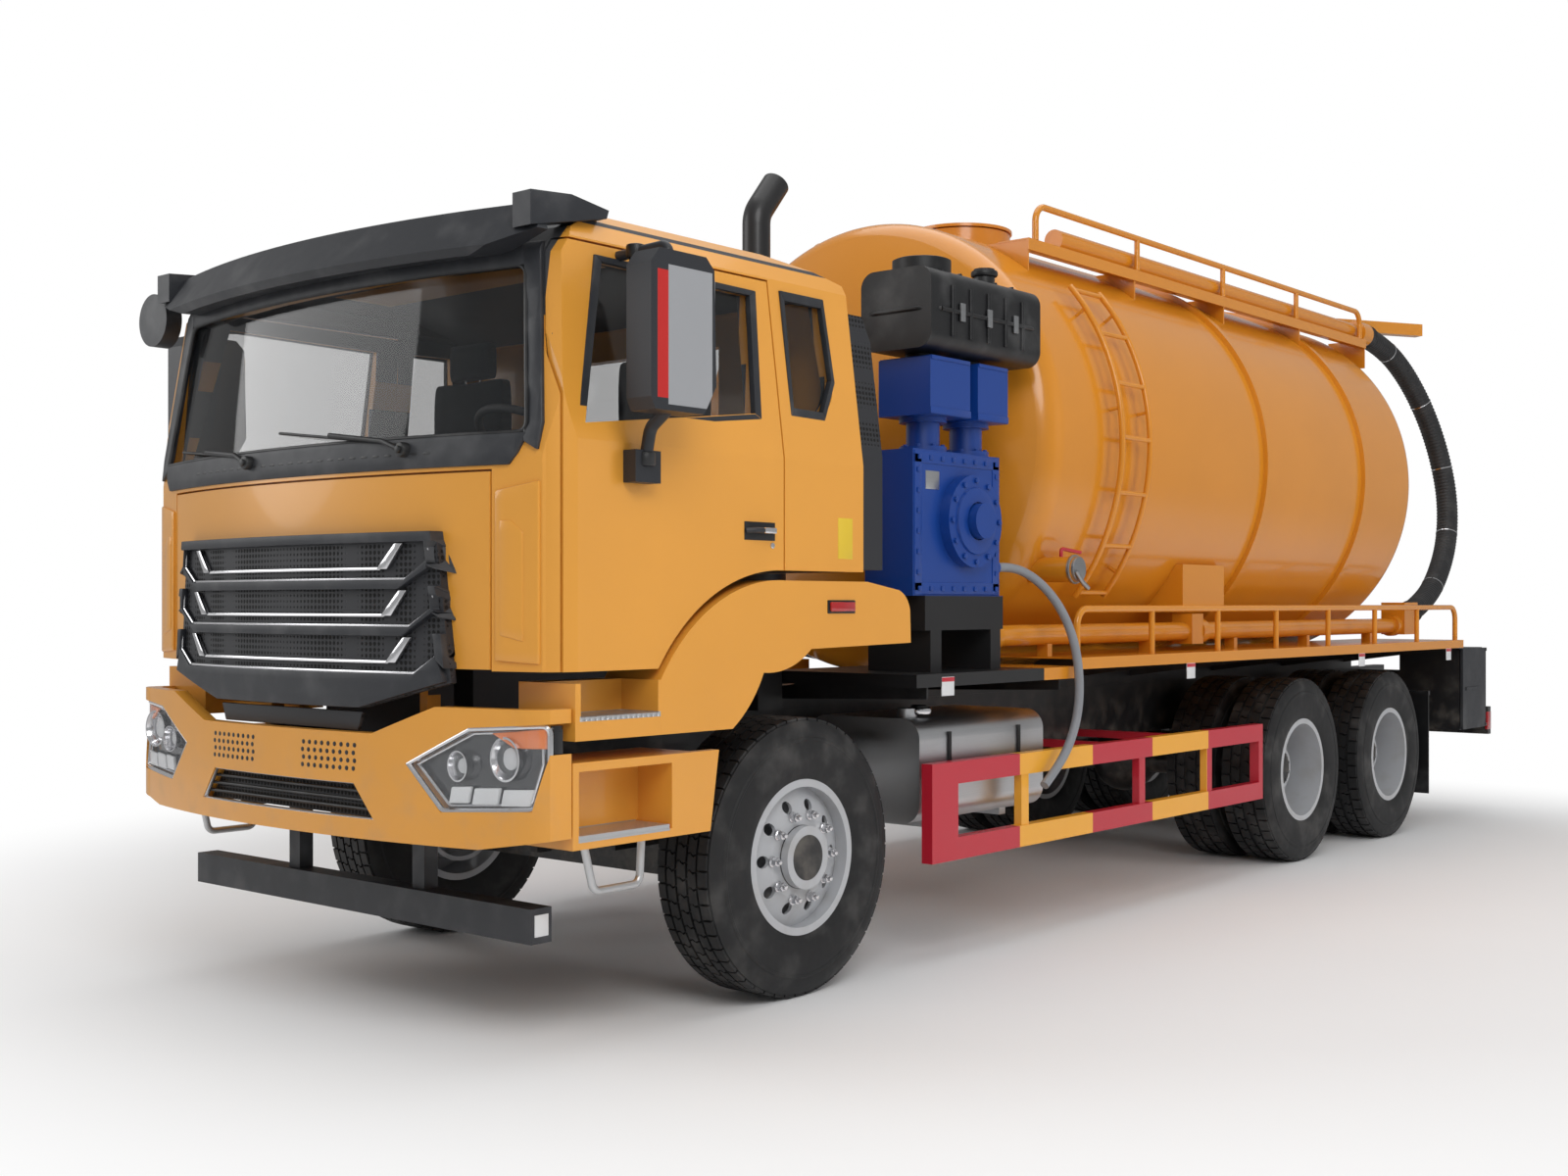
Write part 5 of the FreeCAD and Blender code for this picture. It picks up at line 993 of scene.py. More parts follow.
class Wheels(Builder):
    """Treaded tyres, wheel nuts, studs and hub covers."""

    def build(self) -> None:
        """Makes what every wheel carries."""
        for side, sign in (("left", 1), ("right", -1)):
            self.wheel(WheelSet(f"front_{side}_wheel", FRONT_AXLE, (1.04,), 1.16), sign)
            for number, y in enumerate(REAR_AXLES, start=1):
                self.wheel(WheelSet(f"rear{number}_{side}_wheel", y, (1.06, 0.71), 0.885), sign)

    def wheel(self, wheel: WheelSet, sign: int) -> None:
        """All pieces of one wheel."""
        front = len(wheel.tyres) == 1
        kind = "tyre" if front else "tyres"
        rubber = Piece(f"{wheel.body}_rubber", wheel.body, "tyre_rubber",
                       (f"{wheel.body.replace('_wheel', '')}_wheel_{kind}",))
        rubber.replaces = (wheel.body.replace("_wheel", f"_{kind}"),)
        for x in wheel.tyres:
            self.tyre(rubber, (sign * x, wheel.y, TYRE_RADIUS), front)
        rubber.done(0.5)
        self.fittings(wheel, sign, front)

    def tyre(self, piece: Piece, centre: Point, steering: bool) -> None:
        """One tyre: carcass, sidewall bands and rings of tread blocks."""
        half = [(0.105, 0.287), (0.128, 0.292), (0.135, 0.312), (0.139, 0.320), (0.146, 0.350),
                (0.1495, 0.395), (0.1495, 0.420), (0.147, 0.450), (0.1490, 0.453),
                (0.1482, 0.462), (0.144, 0.468), (0.1435, 0.492), (0.1365, 0.512),
                (0.128, 0.5275), (0.118, 0.5290), (0.07, 0.5300), (0.0, 0.5305)]
        outside = half + [(-x, r) for x, r in reversed(half[:-1])]
        piece.lathe(outside + [(-0.095, 0.290), (0.095, 0.290), outside[0]], centre, Axis.X,
                    TYRE_RUBBER, 96)
        rows = ((-0.103, 0.040, 54, 0.9), (-0.053, 0.040, 54, 0.0), (0.0, 0.044, 54, 0.5),
                (0.053, 0.040, 54, 0.0), (0.103, 0.040, 54, 0.9)) if steering else (
            (-0.098, 0.052, 44, 0.5), (-0.035, 0.046, 44, 0.0), (0.035, 0.046, 44, 0.5),
            (0.098, 0.052, 44, 0.0))
        for x, width, count, phase in rows:
            step = 2 * math.pi / count
            depth = step * TYRE_RADIUS * 0.86 / 2
            slant = 0.006 if abs(x) < 0.06 else 0.0
            top, foot = 0.5415, 0.526
            form = bmesh.new()
            corners = [(x - width / 2, -depth), (x - width / 6, -depth + slant),
                       (x + width / 6, -depth - slant), (x + width / 2, -depth),
                       (x + width / 2, depth), (x + width / 6, depth - slant),
                       (x - width / 6, depth + slant), (x - width / 2, depth)]
            drop = [0.003 if abs(a) > 0.115 else 0.0 for a, _ in corners]
            upper = [form.verts.new((a, b, top - d)) for (a, b), d in zip(corners, drop)]
            lower = [form.verts.new((a, b, foot)) for a, b in corners]
            form.faces.new(upper)
            for number in range(8):
                form.faces.new((upper[number - 1], upper[number], lower[number],
                                lower[number - 1]))
            bmesh.ops.recalc_face_normals(form, faces=form.faces)
            self.ring_of(piece, form, count, TYRE_RUBBER, centre, step * phase, 0.002)

    def fittings(self, wheel: WheelSet, sign: int, front: bool) -> None:
        """Nuts with their studs, and the hub's cover."""
        metal = Piece(f"{wheel.body}_nuts", wheel.body, "rim_silver")
        centre = (sign * wheel.seat, wheel.y, TYRE_RADIUS)
        nut = Piece("nut", "")
        for depth, radius, steps in ((0.006, 0.0215, 20), (0.030, 0.0175, 6), (0.044, 0.0095, 14)):
            nut.disc((sign * depth / 2, 0, 0.1675), Axis.X, radius, depth, CHROME, 0.0015,
                     steps=steps)
        self.ring_of(metal, nut.mesh, 10, CHROME, centre, math.pi / 10)
        metal.done(0.5)
        cap = Piece(f"{wheel.body}_hub_cover", wheel.body, "chassis_black")
        if front:
            cap.lathe([(sign * a, r) for a, r in (
                (0.0005, 0.1235), (0.004, 0.1235), (0.008, 0.112), (0.022, 0.104),
                (0.024, 0.092), (0.0385, 0.088), (0.0392, 0.074), (0.0388, 0.05),
                (0.0395, 0.0))], centre, Axis.X, BLACK_PAINT, 40)
            bolts = disc_form((sign * 0.010, 0, 0.114), Axis.X, 0.0065, 0.012, 0.001, 6)
            self.ring_of(cap, bolts, 12, BLACK_PAINT, centre)
        else:
            cap.lathe([(sign * a, r) for a, r in (
                (0.0005, 0.1235), (0.010, 0.1235), (0.014, 0.118), (0.120, 0.1225),
                (0.125, 0.105), (0.1753, 0.100), (0.1758, 0.085), (0.1756, 0.0))],
                centre, Axis.X, BLACK_PAINT, 40)
            bolts = disc_form((sign * 0.1775, 0, 0.092), Axis.X, 0.008, 0.010, 0.001, 6)
            self.ring_of(cap, bolts, 10, STEEL, centre)
        cap.done(0.5)


# ------------------------------------------------------------------ front of the cab
class FrontEnd(Builder):
    """Grille, windscreen surround, wipers, bumper details and headlamps."""

    def build(self) -> None:
        """Makes everything seen from ahead."""
        self.grille()
        self.surround()
        self.wipers()
        self.bumper()
        for sign in (1, -1):
            self.headlamp(sign)

    def grille(self) -> None:
        """Three rows of dark net behind bars, each row edged in chrome."""
        skin = Skin(self.nodes, ["grille"])
        piece = Piece("grille_bars", "front_lid", "black_plastic", ("grille",))
        outer = [(-0.45, 1.165), (0.45, 1.165), (0.85, 1.258), (0.785, 1.77), (-0.785, 1.77),
                 (-0.85, 1.258)]
        piece.take(skin.lay(flat(outer, Plane.FRONT, 0.026, 0.052), Axis.Y), NET)
        self.plate(piece, skin, [(-0.785, 1.77), (0.785, 1.77), (0.79, 1.735), (-0.79, 1.735)])
        rows = ((1.735, 1.605, 0.765), (1.575, 1.445, 0.785), (1.415, 1.285, 0.805))
        for number, (high, low, half) in enumerate(rows):
            for sign in (1, -1):
                self.plate(piece, skin, [(sign * (half + 0.022), high + 0.01),
                                         (sign * (half - 0.012), high + 0.01),
                                         (sign * half, low + 0.05), (sign * 0.845, low + 0.02)])
                bright = [(sign * (half - 0.115), high - 0.004), (sign * (half - 0.150), high - 0.004),
                          (sign * (half - 0.235), low + 0.038), (sign * (half - 0.185), low + 0.038)]
                piece.take(skin.lay(flat(bright, Plane.FRONT, 0.008, 0.022), Axis.Y), CHROME)
            following = rows[number + 1][0] if number < 2 else None
            inner = half - 0.10
            low_edge = 1.165 if following is None else following
            drop = 0.065
            bar = [(-inner, low), (inner, low), (half, low + drop), (0.85 - 0.012 * (2 - number),
                   low + drop - 0.02), (0.80, low_edge + 0.085), (inner - 0.03, low_edge),
                   (-inner + 0.03, low_edge), (-0.80, low_edge + 0.085),
                   (-0.85 + 0.012 * (2 - number), low + drop - 0.02), (-half, low + drop)]
            if following is None:
                bar = [(-inner, low), (inner, low), (half, low + drop), (0.84, 1.262),
                       (0.45, 1.165), (-0.45, 1.165), (-0.84, 1.262), (-half, low + drop)]
            self.plate(piece, skin, bar)
            rim = [(-half + 0.004, high), (-half, low + drop), (-inner, low + 0.004),
                   (inner, low + 0.004), (half, low + drop), (half - 0.004, high)]
            self.edge(piece, skin, rim, 0.0055, CHROME, 0.010)
            ledge = [(-half + 0.15, high - 0.012), (-half + 0.225, low + 0.040),
                     (half - 0.225, low + 0.040), (half - 0.15, high - 0.012)]
            self.edge(piece, skin, ledge, 0.0065, CHROME, 0.016)
        piece.done()

    def plate(self, piece: Piece, skin: Skin, outline: list[Point], low: float = 0.001,
              high: float = 0.03, finish: Finish | None = None) -> None:
        """A raised plate whose outline is laid on the skin."""
        turn = sum(a[0] * b[1] - b[0] * a[1] for a, b in zip(outline, outline[1:] + outline[:1]))
        ordered = outline if turn > 0 else outline[::-1]
        piece.take(skin.lay(flat(ordered, Plane.FRONT, low, high, 0.004), Axis.Y),
                   finish or GREY_PLASTIC)

    def edge(self, piece: Piece, skin: Skin, line: list[Point], radius: float, finish: Finish,
             depth: float = 0.0, bend: float = 0.012) -> None:
        """A bead that follows a line on the skin."""
        path = []
        for (x0, z0), (x1, z1) in zip(line, line[1:]):
            count = max(1, int(abs(x1 - x0) / 0.08))
            path += [(x0 + (x1 - x0) * k / count, z0 + (z1 - z0) * k / count)
                     for k in range(count)]
        path.append(line[-1])
        piece.tube([(x, skin.front(x, z) + depth + radius * 0.6, z) for x, z in path], radius,
                   finish, bend, 8)

    def surround(self) -> None:
        """Black band round the windscreen, its rubber and the cowl below it."""
        skin = Skin(self.nodes, ["cab_shell", "cab_glass", "left_door", "right_door",
                                 "front_lid"], 0.022)
        piece = Piece("screen_surround", "cab", "black_plastic")
        self.plate(piece, skin, [(-1.06, 1.985), (1.06, 1.985), (1.09, 2.02), (1.125, 2.09),
                                 (-1.125, 2.09), (-1.09, 2.02)], -0.005, 0.012)
        self.plate(piece, skin, [(-1.045, 2.662), (1.045, 2.662), (1.02, 2.76), (-1.02, 2.76)],
                   -0.005, 0.012)
        for sign in (1, -1):
            self.plate(piece, skin, [(sign * 1.115, 2.06), (sign * 1.168, 2.03),
                                     (sign * 1.178, 2.12), (sign * 1.095, 2.74),
                                     (sign * 1.02, 2.74), (sign * 1.035, 2.66)], -0.005, 0.012)
        rim = [(-1.118, 2.092), (1.118, 2.092), (1.036, 2.664), (-1.036, 2.664), (-1.118, 2.092)]
        self.edge(piece, skin, rim, 0.009, DARK_PLASTIC, 0.0, 0.05)
        slots = disc_form((0, 0, 0), Axis.Y, 0.012, 0.004, 0.001, 10)
        bmesh.ops.scale(slots, vec=(1.6, 1, 0.5), verts=slots.verts)
        bmesh.ops.translate(slots, vec=(-0.72, -0.003, 2.035), verts=slots.verts)
        item = self.repeater.repeat(slots, 25, DARK_PLASTIC, (0.06, 0, 0))
        form = bmesh.new()
        form.from_mesh(item.data)
        bpy.data.objects.remove(item)
        piece.take(skin.lay(form, Axis.Y, 9.0), DARK_PLASTIC)
        piece.done()

    def wipers(self) -> None:
        """Two wipers with blades, frames, arms and pivots."""
        skin = Skin(self.nodes, ["cab_shell", "cab_glass"])
        piece = Piece("wipers", "cab", "black_plastic")

        def on(x: float, z: float, lift: float) -> Point:
            return (x, skin.front(x, z) - lift, z)

        for pivot, tip in (((0.62, 2.052), (-0.12, 2.155)), ((-0.28, 2.052), (-0.98, 2.14))):
            px, pz = pivot
            tx, tz = tip
            mid = ((px + tx) / 2 - 0.02, (pz + tz) / 2 + 0.02)
            piece.disc(on(px, pz, 0.020), Axis.Y, 0.026, 0.034, DARK_PLASTIC, 0.006)
            piece.disc(on(px, pz, 0.040), Axis.Y, 0.013, 0.016, DARK_PLASTIC, 0.003)
            piece.tube([on(px, pz, 0.034), on(px - 0.10, pz + 0.035, 0.040),
                        on(*mid, 0.034)], 0.009, DARK_PLASTIC, 0.05)
            steps = [k / 8 for k in range(9)]
            blade = [(px - 0.02 + (tx - px + 0.02) * t, pz + 0.022 + (tz - pz - 0.022) * t)
                     for t in steps]
            piece.tube([on(x, z, 0.008) for x, z in blade], 0.0055, DARK_PLASTIC, 0.01, 8)
            piece.tube([on(x, z, 0.017 + 0.012 * math.sin(math.pi * t))
                        for (x, z), t in zip(blade[1:-1], steps[1:-1])], 0.0045, DARK_PLASTIC,
                       0.02, 8)
        piece.done()

    def bumper(self) -> None:
        """Perforations, lower mouth with its bright frame, intake net and crease lines."""
        skin = Skin(self.nodes, ["front_bumper", "headlamps"])
        piece = Piece("bumper_details", "chassis", "black_plastic")
        for sign in (1, -1):
            for row in range(4):
                holes = disc_form((0, 0, 0), Axis.Y, 0.0085, 0.003, 0.001, 10)
                bmesh.ops.translate(holes, vec=(sign * 0.30 - 0.14 + (row % 2) * 0.006, 0,
                                                0.955 + row * 0.027), verts=holes.verts)
                item = self.repeater.repeat(holes, 9, DARK_PLASTIC, (0.035, 0, 0))
                form = bmesh.new()
                form.from_mesh(item.data)
                bpy.data.objects.remove(item)
                piece.take(skin.lay(form, Axis.Y, 9.0), DARK_PLASTIC)
        mouth = [(-0.54, 0.785), (0.54, 0.785), (0.44, 0.905), (-0.44, 0.905)]
        wall = skin.front(0.0, 0.95)
        piece.prism([(x * 0.99, z) for x, z in mouth], Plane.FRONT, wall + 0.06, wall + 0.075, NET)
        frame = [(-0.55, 0.779), (0.55, 0.779), (0.447, 0.911), (-0.447, 0.911), (-0.55, 0.779)]
        span = Skin(self.nodes, ["front_bumper"])

        def bar(first: Point, second: Point, radius: float) -> None:
            points = []
            for k in range(13):
                x = first[0] + (second[0] - first[0]) * k / 12
                z = first[1] + (second[1] - first[1]) * k / 12
                points.append((x, span.front(x, 0.95) + 0.0125, z))
            piece.tube(points, radius, ALUMINIUM, 0.0, 10)

        for first, second in zip(frame, frame[1:]):
            bar(first, second, 0.011)
        for level in (0.815, 0.845, 0.875):
            reach = 0.54 - (level - 0.785) * 0.8
            piece.tube([(-reach, wall + 0.045, level), (0, wall + 0.040, level),
                        (reach, wall + 0.045, level)], 0.006, DARK_PLASTIC, 0.3)
        under = [(-0.42, 1.085), (0.42, 1.085), (0.445, 1.15), (-0.445, 1.15)]
        piece.prism(under, Plane.FRONT, wall + 0.05, wall + 0.065, NET)
        piece.done()

    def headlamp(self, sign: int) -> None:
        """Dark bowl with two round lenses, an amber corner, clear blocks and a bright rim."""
        skin = Skin(self.nodes, ["headlamps"])
        side = "left" if sign > 0 else "right"
        piece = Piece(f"{side}_headlamp_inner", "chassis", "lamp_glass",
                      ("headlamps",) if sign > 0 else ())
        shape = [(0.693, 0.985), (0.846, 0.833), (1.203, 0.853), (1.240, 1.005), (1.240, 1.128),
                 (0.960, 1.112)]
        outline = [(sign * x, z) for x, z in shape]
        self.plate(piece, skin, outline, 0.034, 0.060, BODY_BLACK)
        self.edge(piece, skin, outline + outline[:1], 0.010, CHROME, -0.004, 0.03)
        inset = [(sign * (1.02 + (x - 1.02) * 0.90), 0.98 + (z - 0.98) * 0.88) for x, z in shape]
        self.edge(piece, skin, inset + inset[:1], 0.006, CHROME, 0.012, 0.03)
        for x, z, radius in ((1.095, 1.015, 0.074), (0.905, 0.985, 0.052)):
            centre = (sign * x, skin.front(sign * x, z), z)
            rim = [(-0.004, radius), (-0.004, radius * 0.90), (0.012, radius * 0.80),
                   (0.030, radius * 0.72), (0.034, 0.0)]
            piece.lathe([(a + 0.006, r) for a, r in rim], centre, Axis.Y, CHROME, 40)
            lens = [(radius * 0.30 * (1 - math.cos(t)), radius * 0.74 * math.sin(t))
                    for t in (math.pi / 2 * k / 6 for k in range(7))]
            piece.lathe([(0.003 + a, r) for a, r in lens], centre, Axis.Y, LENS_GLASS, 40)
            piece.disc((centre[0], centre[1] + 0.030, z), Axis.Y, radius * 0.5, 0.01, WHITE_PLASTIC)
        amber = [(1.04, 1.100), (1.13, 1.052), (1.232, 1.052), (1.232, 1.118)]
        self.plate(piece, skin, [(sign * x, z) for x, z in amber], 0.004, 0.016, AMBER)
        for x0, x1 in ((0.865, 0.945), (0.96, 1.06), (1.075, 1.185)):
            block = [(x0, 0.86), (x1, 0.864), (x1 + 0.012, 0.92), (x0 + 0.012, 0.915)]
            self.plate(piece, skin, [(sign * x, z) for x, z in block], 0.006, 0.020, WHITE_PLASTIC)
        piece.done()
        glass = Piece(f"{side}_headlamp_glass", "chassis", "lamp_glass")
        self.plate(glass, skin, outline, 0.0, 0.003, LENS_GLASS)
        glass.done()


# ------------------------------------------------------------------ sides of the cab and deck
class SideTrim(Builder):
    """Window rubbers, handles, mirror faces, markers, corner panels and small blank labels."""

    def build(self) -> None:
        """Makes both sides."""
        for sign, side in ((1, "left"), (-1, "right")):
            self.door(sign, f"{side}_door")
            self.mirror(sign, f"{side}_door")
            self.cab_side(sign, side)
        self.deck()

    def rubber(self, piece: Piece, outline: list[Point], sign: int,
               width: float = 0.03) -> None:
        """A flat black frame round a window, drawn as four or more mitred bars."""
        middle_y = sum(p[0] for p in outline) / len(outline)
        middle_z = sum(p[1] for p in outline) / len(outline)

        def out(point: Point, share: float) -> Point:
            return (middle_y + (point[0] - middle_y) * share,
                    middle_z + (point[1] - middle_z) * share)

        size = max(p[0] for p in outline) - middle_y
        inner, outer = 1 - 0.2 * width / size, 1 + width / size
        for first, second in zip(outline, outline[1:] + outline[:1]):
            corners = [out(first, inner), out(second, inner), out(second, outer),
                       out(first, outer)]
            turned = corners if sign > 0 else corners[::-1]
            form = flat(turned, Plane.SIDE, -0.02, 0.005, 0.002)
            for vert in form.verts:
                vert.co.x = sign * (cab_side_at(vert.co.z) + vert.co.x)
            if sign < 0:
                bmesh.ops.reverse_faces(form, faces=form.faces)
            piece.take(form, GREY_PLASTIC)

    def door(self, sign: int, body: str) -> None:
        """Window rubber, recessed handle and lock of one door."""
        piece = Piece(f"{body}_trim", body, "black_plastic")
        window = [(back(-1.205), 2.12), (back(-0.335), 2.225), (back(-0.31), 2.68),
                  (back(-1.07), 2.69)]
        self.rubber(piece, window, sign)
        x = sign * 1.25
        y, z = back(-0.34), 1.793
        piece.box((x - sign * 0.004, y - 0.085, z - 0.034), (x + sign * 0.002, y + 0.085, z + 0.034),
                  DARK_PLASTIC, 0.0015)
        piece.tube([(x + sign * 0.001, y - 0.075, z), (x + sign * 0.026, y - 0.05, z + 0.002),
                    (x + sign * 0.026, y + 0.05, z + 0.002), (x + sign * 0.001, y + 0.075, z)],
                   0.011, GREY_PLASTIC, 0.02)
        piece.box((x + sign * 0.020, y - 0.01, z - 0.009), (x + sign * 0.0385, y + 0.055, z + 0.013),
                  CHROME, 0.004)
        piece.disc((x + sign * 0.001, y + 0.07, z - 0.052), Axis.X, 0.011, 0.006, CHROME, 0.001)
        piece.done()

    def mirror(self, sign: int, body: str) -> None:
        """The glass and the joint covers; the silver outer face and its red strip are zones of the shell's
        finish.
        """
        piece = Piece(f"{body}_mirror_faces", body, "black_plastic")
        rear = back(-0.83)
        low, high = sign * 1.378, sign * 1.487
        piece.box((min(low, high), rear - 0.010, 2.29), (max(low, high), rear - 0.002, 2.62),
                  MIRROR, 0.003)
        for level, y in ((2.015, back(-0.975)), (2.725, back(-0.975))):
            piece.disc((sign * (1.297 if level < 2.4 else 1.25), y, level), Axis.Z, 0.034, 0.05,
                       DARK_PLASTIC, 0.008)
        piece.done()

    def cab_side(self, sign: int, side: str) -> None:
        """Quarter window rubber, marker lamp, air deflector panel and a blank label."""
        piece = Piece(f"{side}_cab_trim", "cab", "black_plastic")
        window = [(back(-0.118), 2.265), (back(0.06), 2.262), (back(0.132), 2.40),
                  (back(0.108), 2.69), (back(-0.12), 2.69)]
        self.rubber(piece, window, sign, 0.016)
        front = Skin(self.nodes, ["cab_shell"])
        panel = [(1.008, 1.335), (1.175, 1.325), (1.175, 1.930), (1.008, 1.900)]
        raised = [(sign * a, b) for a, b in (panel if sign > 0 else panel[::-1])]
        piece.take(front.lay(flat(raised, Plane.FRONT, -0.011, 0.006, 0.007), Axis.Y), CAB_PAINT)
        scoop = [(1.030, 1.42), (1.120, 1.40), (1.120, 1.76), (1.075, 1.80), (1.030, 1.80)]
        lowered = [(sign * a, b) for a, b in (scoop if sign > 0 else scoop[::-1])]
        piece.take(front.lay(flat(lowered, Plane.FRONT, -0.0145, 0.0, 0.004), Axis.Y), CAB_PAINT)
        if sign > 0:
            piece.box((1.249, back(0.12), 1.70), (1.2512, back(0.21), 1.86), STICKER, 0.0008)
        piece.done()
        lamp = Piece(f"{side}_marker", "chassis", "lamp_glass")
        x = sign * 1.262
        lamp.box((x - sign * 0.004, back(0.04), 1.487), (x + sign * 0.004, back(0.21), 1.539),
                 DARK_PLASTIC, 0.003)
        lamp.box((x + sign * 0.002, back(0.05), 1.494), (x + sign * 0.014, back(0.20), 1.532),
                 RED_LENS, 0.006)
        lamp.done()

    def deck(self) -> None:
        """Blank labels on the deck's edge, reflectors on the underrun bar and rear lamps."""
        piece = Piece("deck_labels", "chassis", "guard_paint")
        for y in (back(0.86), back(3.05), back(5.32), back(6.85)):
            piece.box((1.247, y - 0.045, 1.135), (1.2515, y + 0.045, 1.215), WHITE_PLASTIC, 0.001)
            piece.box((1.2505, y - 0.045, 1.195), (1.2525, y + 0.045, 1.213), RED_PAINT, 0.0005)
        for sign in (1, -1):
            piece.box((sign * 1.041, -4.386, 0.40), (sign * 1.0435, -4.325, 0.474), WHITE_PLASTIC,
                      0.0008)
            for x in (0.98, 1.10):
                piece.disc((sign * x, 4.692, 0.665), Axis.Y, 0.048, 0.012, RED_LENS, 0.004)
                piece.disc((sign * x, 4.688, 0.665), Axis.Y, 0.054, 0.010, DARK_PLASTIC, 0.003)
            piece.box((sign * 1.195, 4.62, 0.60), (sign * 1.214, 4.698, 0.73), RED_LENS, 0.003)
        piece.done()


# ------------------------------------------------------------------ pump, filter box and hose
class PumpSet(Builder):
    """Bolts, ribs and covers of the pump, the ribbed filter box, and the suction hose."""

    def build(self) -> None:
        """Makes all of it."""
        self.pump()
        self.filter_box()
        self.hose()
        self.tanks()

    def pump(self) -> None:
        """Bolt rings on covers and flanges, cooling ribs and a name-free plate."""
        piece = Piece("pump_details", "chassis", "pump_paint")
        y0, z0 = back(0.80), 1.56
        cover = (1.160, y0 + 0.40, z0 + 0.33)
        bolt = disc_form((0.004, 0, 0.180), Axis.X, 0.013, 0.014, 0.002, 6)
        self.ring_of(piece, bolt, 12, PUMP_PAINT, cover)
        piece.lathe([(0.0, 0.150), (0.010, 0.146), (0.014, 0.120), (0.016, 0.085), (0.0, 0.082)],
                    cover, Axis.X, PUMP_PAINT, 48)
        piece.disc((1.207, y0 + 0.40, z0 + 0.33), Axis.X, 0.050, 0.014, PUMP_PAINT, 0.004)
        small = disc_form((0.0, 0, 0.062), Axis.X, 0.009, 0.012, 0.001, 6)
        self.ring_of(piece, small, 6, PUMP_PAINT, (1.208, y0 + 0.40, z0 + 0.33))
        edge = block_form((1.108, y0 + 0.030, z0 + 0.020), (1.120, y0 + 0.052, z0 + 0.042), 0.003)
        self.row_of(piece, edge, 8, PUMP_PAINT, (0, 0.084, 0))
        top = block_form((1.108, y0 + 0.030, z0 + 0.585), (1.120, y0 + 0.052, z0 + 0.607), 0.003)
        self.row_of(piece, top, 8, PUMP_PAINT, (0, 0.084, 0))
        for y in (y0 + 0.022, y0 + 0.618):
            side = block_form((1.108, y, z0 + 0.09), (1.120, y + 0.022, z0 + 0.112), 0.003)
            self.row_of(piece, side, 6, PUMP_PAINT, (0, 0, 0.088))
        piece.box((1.106, y0 + 0.008, z0 + 0.004), (1.114, y0 + 0.652, z0 + 0.058), PUMP_PAINT, 0.003)
        piece.box((1.106, y0 + 0.008, z0 + 0.570), (1.114, y0 + 0.652, z0 + 0.624), PUMP_PAINT, 0.003)
        piece.box((1.106, y0 + 0.008, z0 + 0.02), (1.114, y0 + 0.060, z0 + 0.61), PUMP_PAINT, 0.003)
        piece.box((1.106, y0 + 0.602, z0 + 0.02), (1.114, y0 + 0.652, z0 + 0.61), PUMP_PAINT, 0.003)
        for y, wide in ((y0 + 0.235, 0.150), (y0 + 0.565, 0.120)):
            for z in (2.214, 2.344):
                bolt = disc_form((0, 0, 0.0), Axis.Z, 0.011, 0.022, 0.002, 6)
                holder = Piece("bolts", "")
                for k in range(8):
                    angle = 2 * math.pi * (k + 0.5) / 8
                    holder.disc((0.99 + 0.089 * math.cos(angle), y + 0.089 * math.sin(angle), z),
                                Axis.Z, 0.011, 0.020, PUMP_PAINT, 0.002, steps=6)
                bolt.free()
                piece.take(holder.mesh, PUMP_PAINT)
            piece.box((0.862, y - wide + 0.004, 2.578), (1.146, y + wide - 0.004, 2.596),
                      PUMP_PAINT, 0.004)
            piece.box((1.138, y - wide - 0.002, 2.345), (1.144, y + wide + 0.002, 2.375),
                      PUMP_PAINT, 0.002)
        piece.box((1.1045, y0 + 0.09, z0 + 0.46), (1.1125, y0 + 0.19, z0 + 0.54), ALUMINIUM, 0.002)
        piece.done()

    def filter_box(self) -> None:
        """Moulded ribs round the box, its clips and the caps on its top."""
        piece = Piece("filter_box_ribs", "chassis", "black_plastic")
        low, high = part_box("air_filter_box")
        x0, x1, y0, y1 = low[0], high[0], low[1], high[1]
        z0 = 2.62
        for share in (0.18, 0.34, 0.50, 0.66, 0.82):
            y = y0 + (y1 - y0) * share
            piece.tube([(x1 + 0.001, y, z0 + 0.06), (x1 + 0.001, y, z0 + 0.28)], 0.011,
                       DARK_PLASTIC, 0.05)
            piece.tube([(x0 + 0.05, y, z0 + 0.349), (x1 - 0.05, y, z0 + 0.349)], 0.009,
                       DARK_PLASTIC, 0.05)
        rim = [(x1 + 0.002, y0 + 0.07), (x1 + 0.002, y1 - 0.07), (x1 - 0.06, y1 + 0.002),
               (x0 + 0.06, y1 + 0.002), (x0 - 0.002, y1 - 0.07), (x0 - 0.002, y0 + 0.07),
               (x0 + 0.06, y0 - 0.002), (x1 - 0.06, y0 - 0.002), (x1 + 0.002, y0 + 0.07)]
        piece.tube([(x, y, z0 + 0.17) for x, y in rim], 0.010, DARK_PLASTIC, 0.05, 10)
        for y in (y0 + 0.22, y0 + 0.43, y0 + 0.64):
            piece.box((x1 + 0.004, y - 0.018, z0 + 0.13), (x1 + 0.014, y + 0.018, z0 + 0.21), STEEL,
                      0.003)
        piece.disc((x0 + 0.23, y0 + 0.62, 3.035), Axis.Z, 0.062, 0.030, DARK_PLASTIC, 0.010)
        piece.disc((x0 + 0.19, y0 + 0.19, 3.028), Axis.Z, 0.126, 0.020, DARK_PLASTIC, 0.009)
        piece.done()

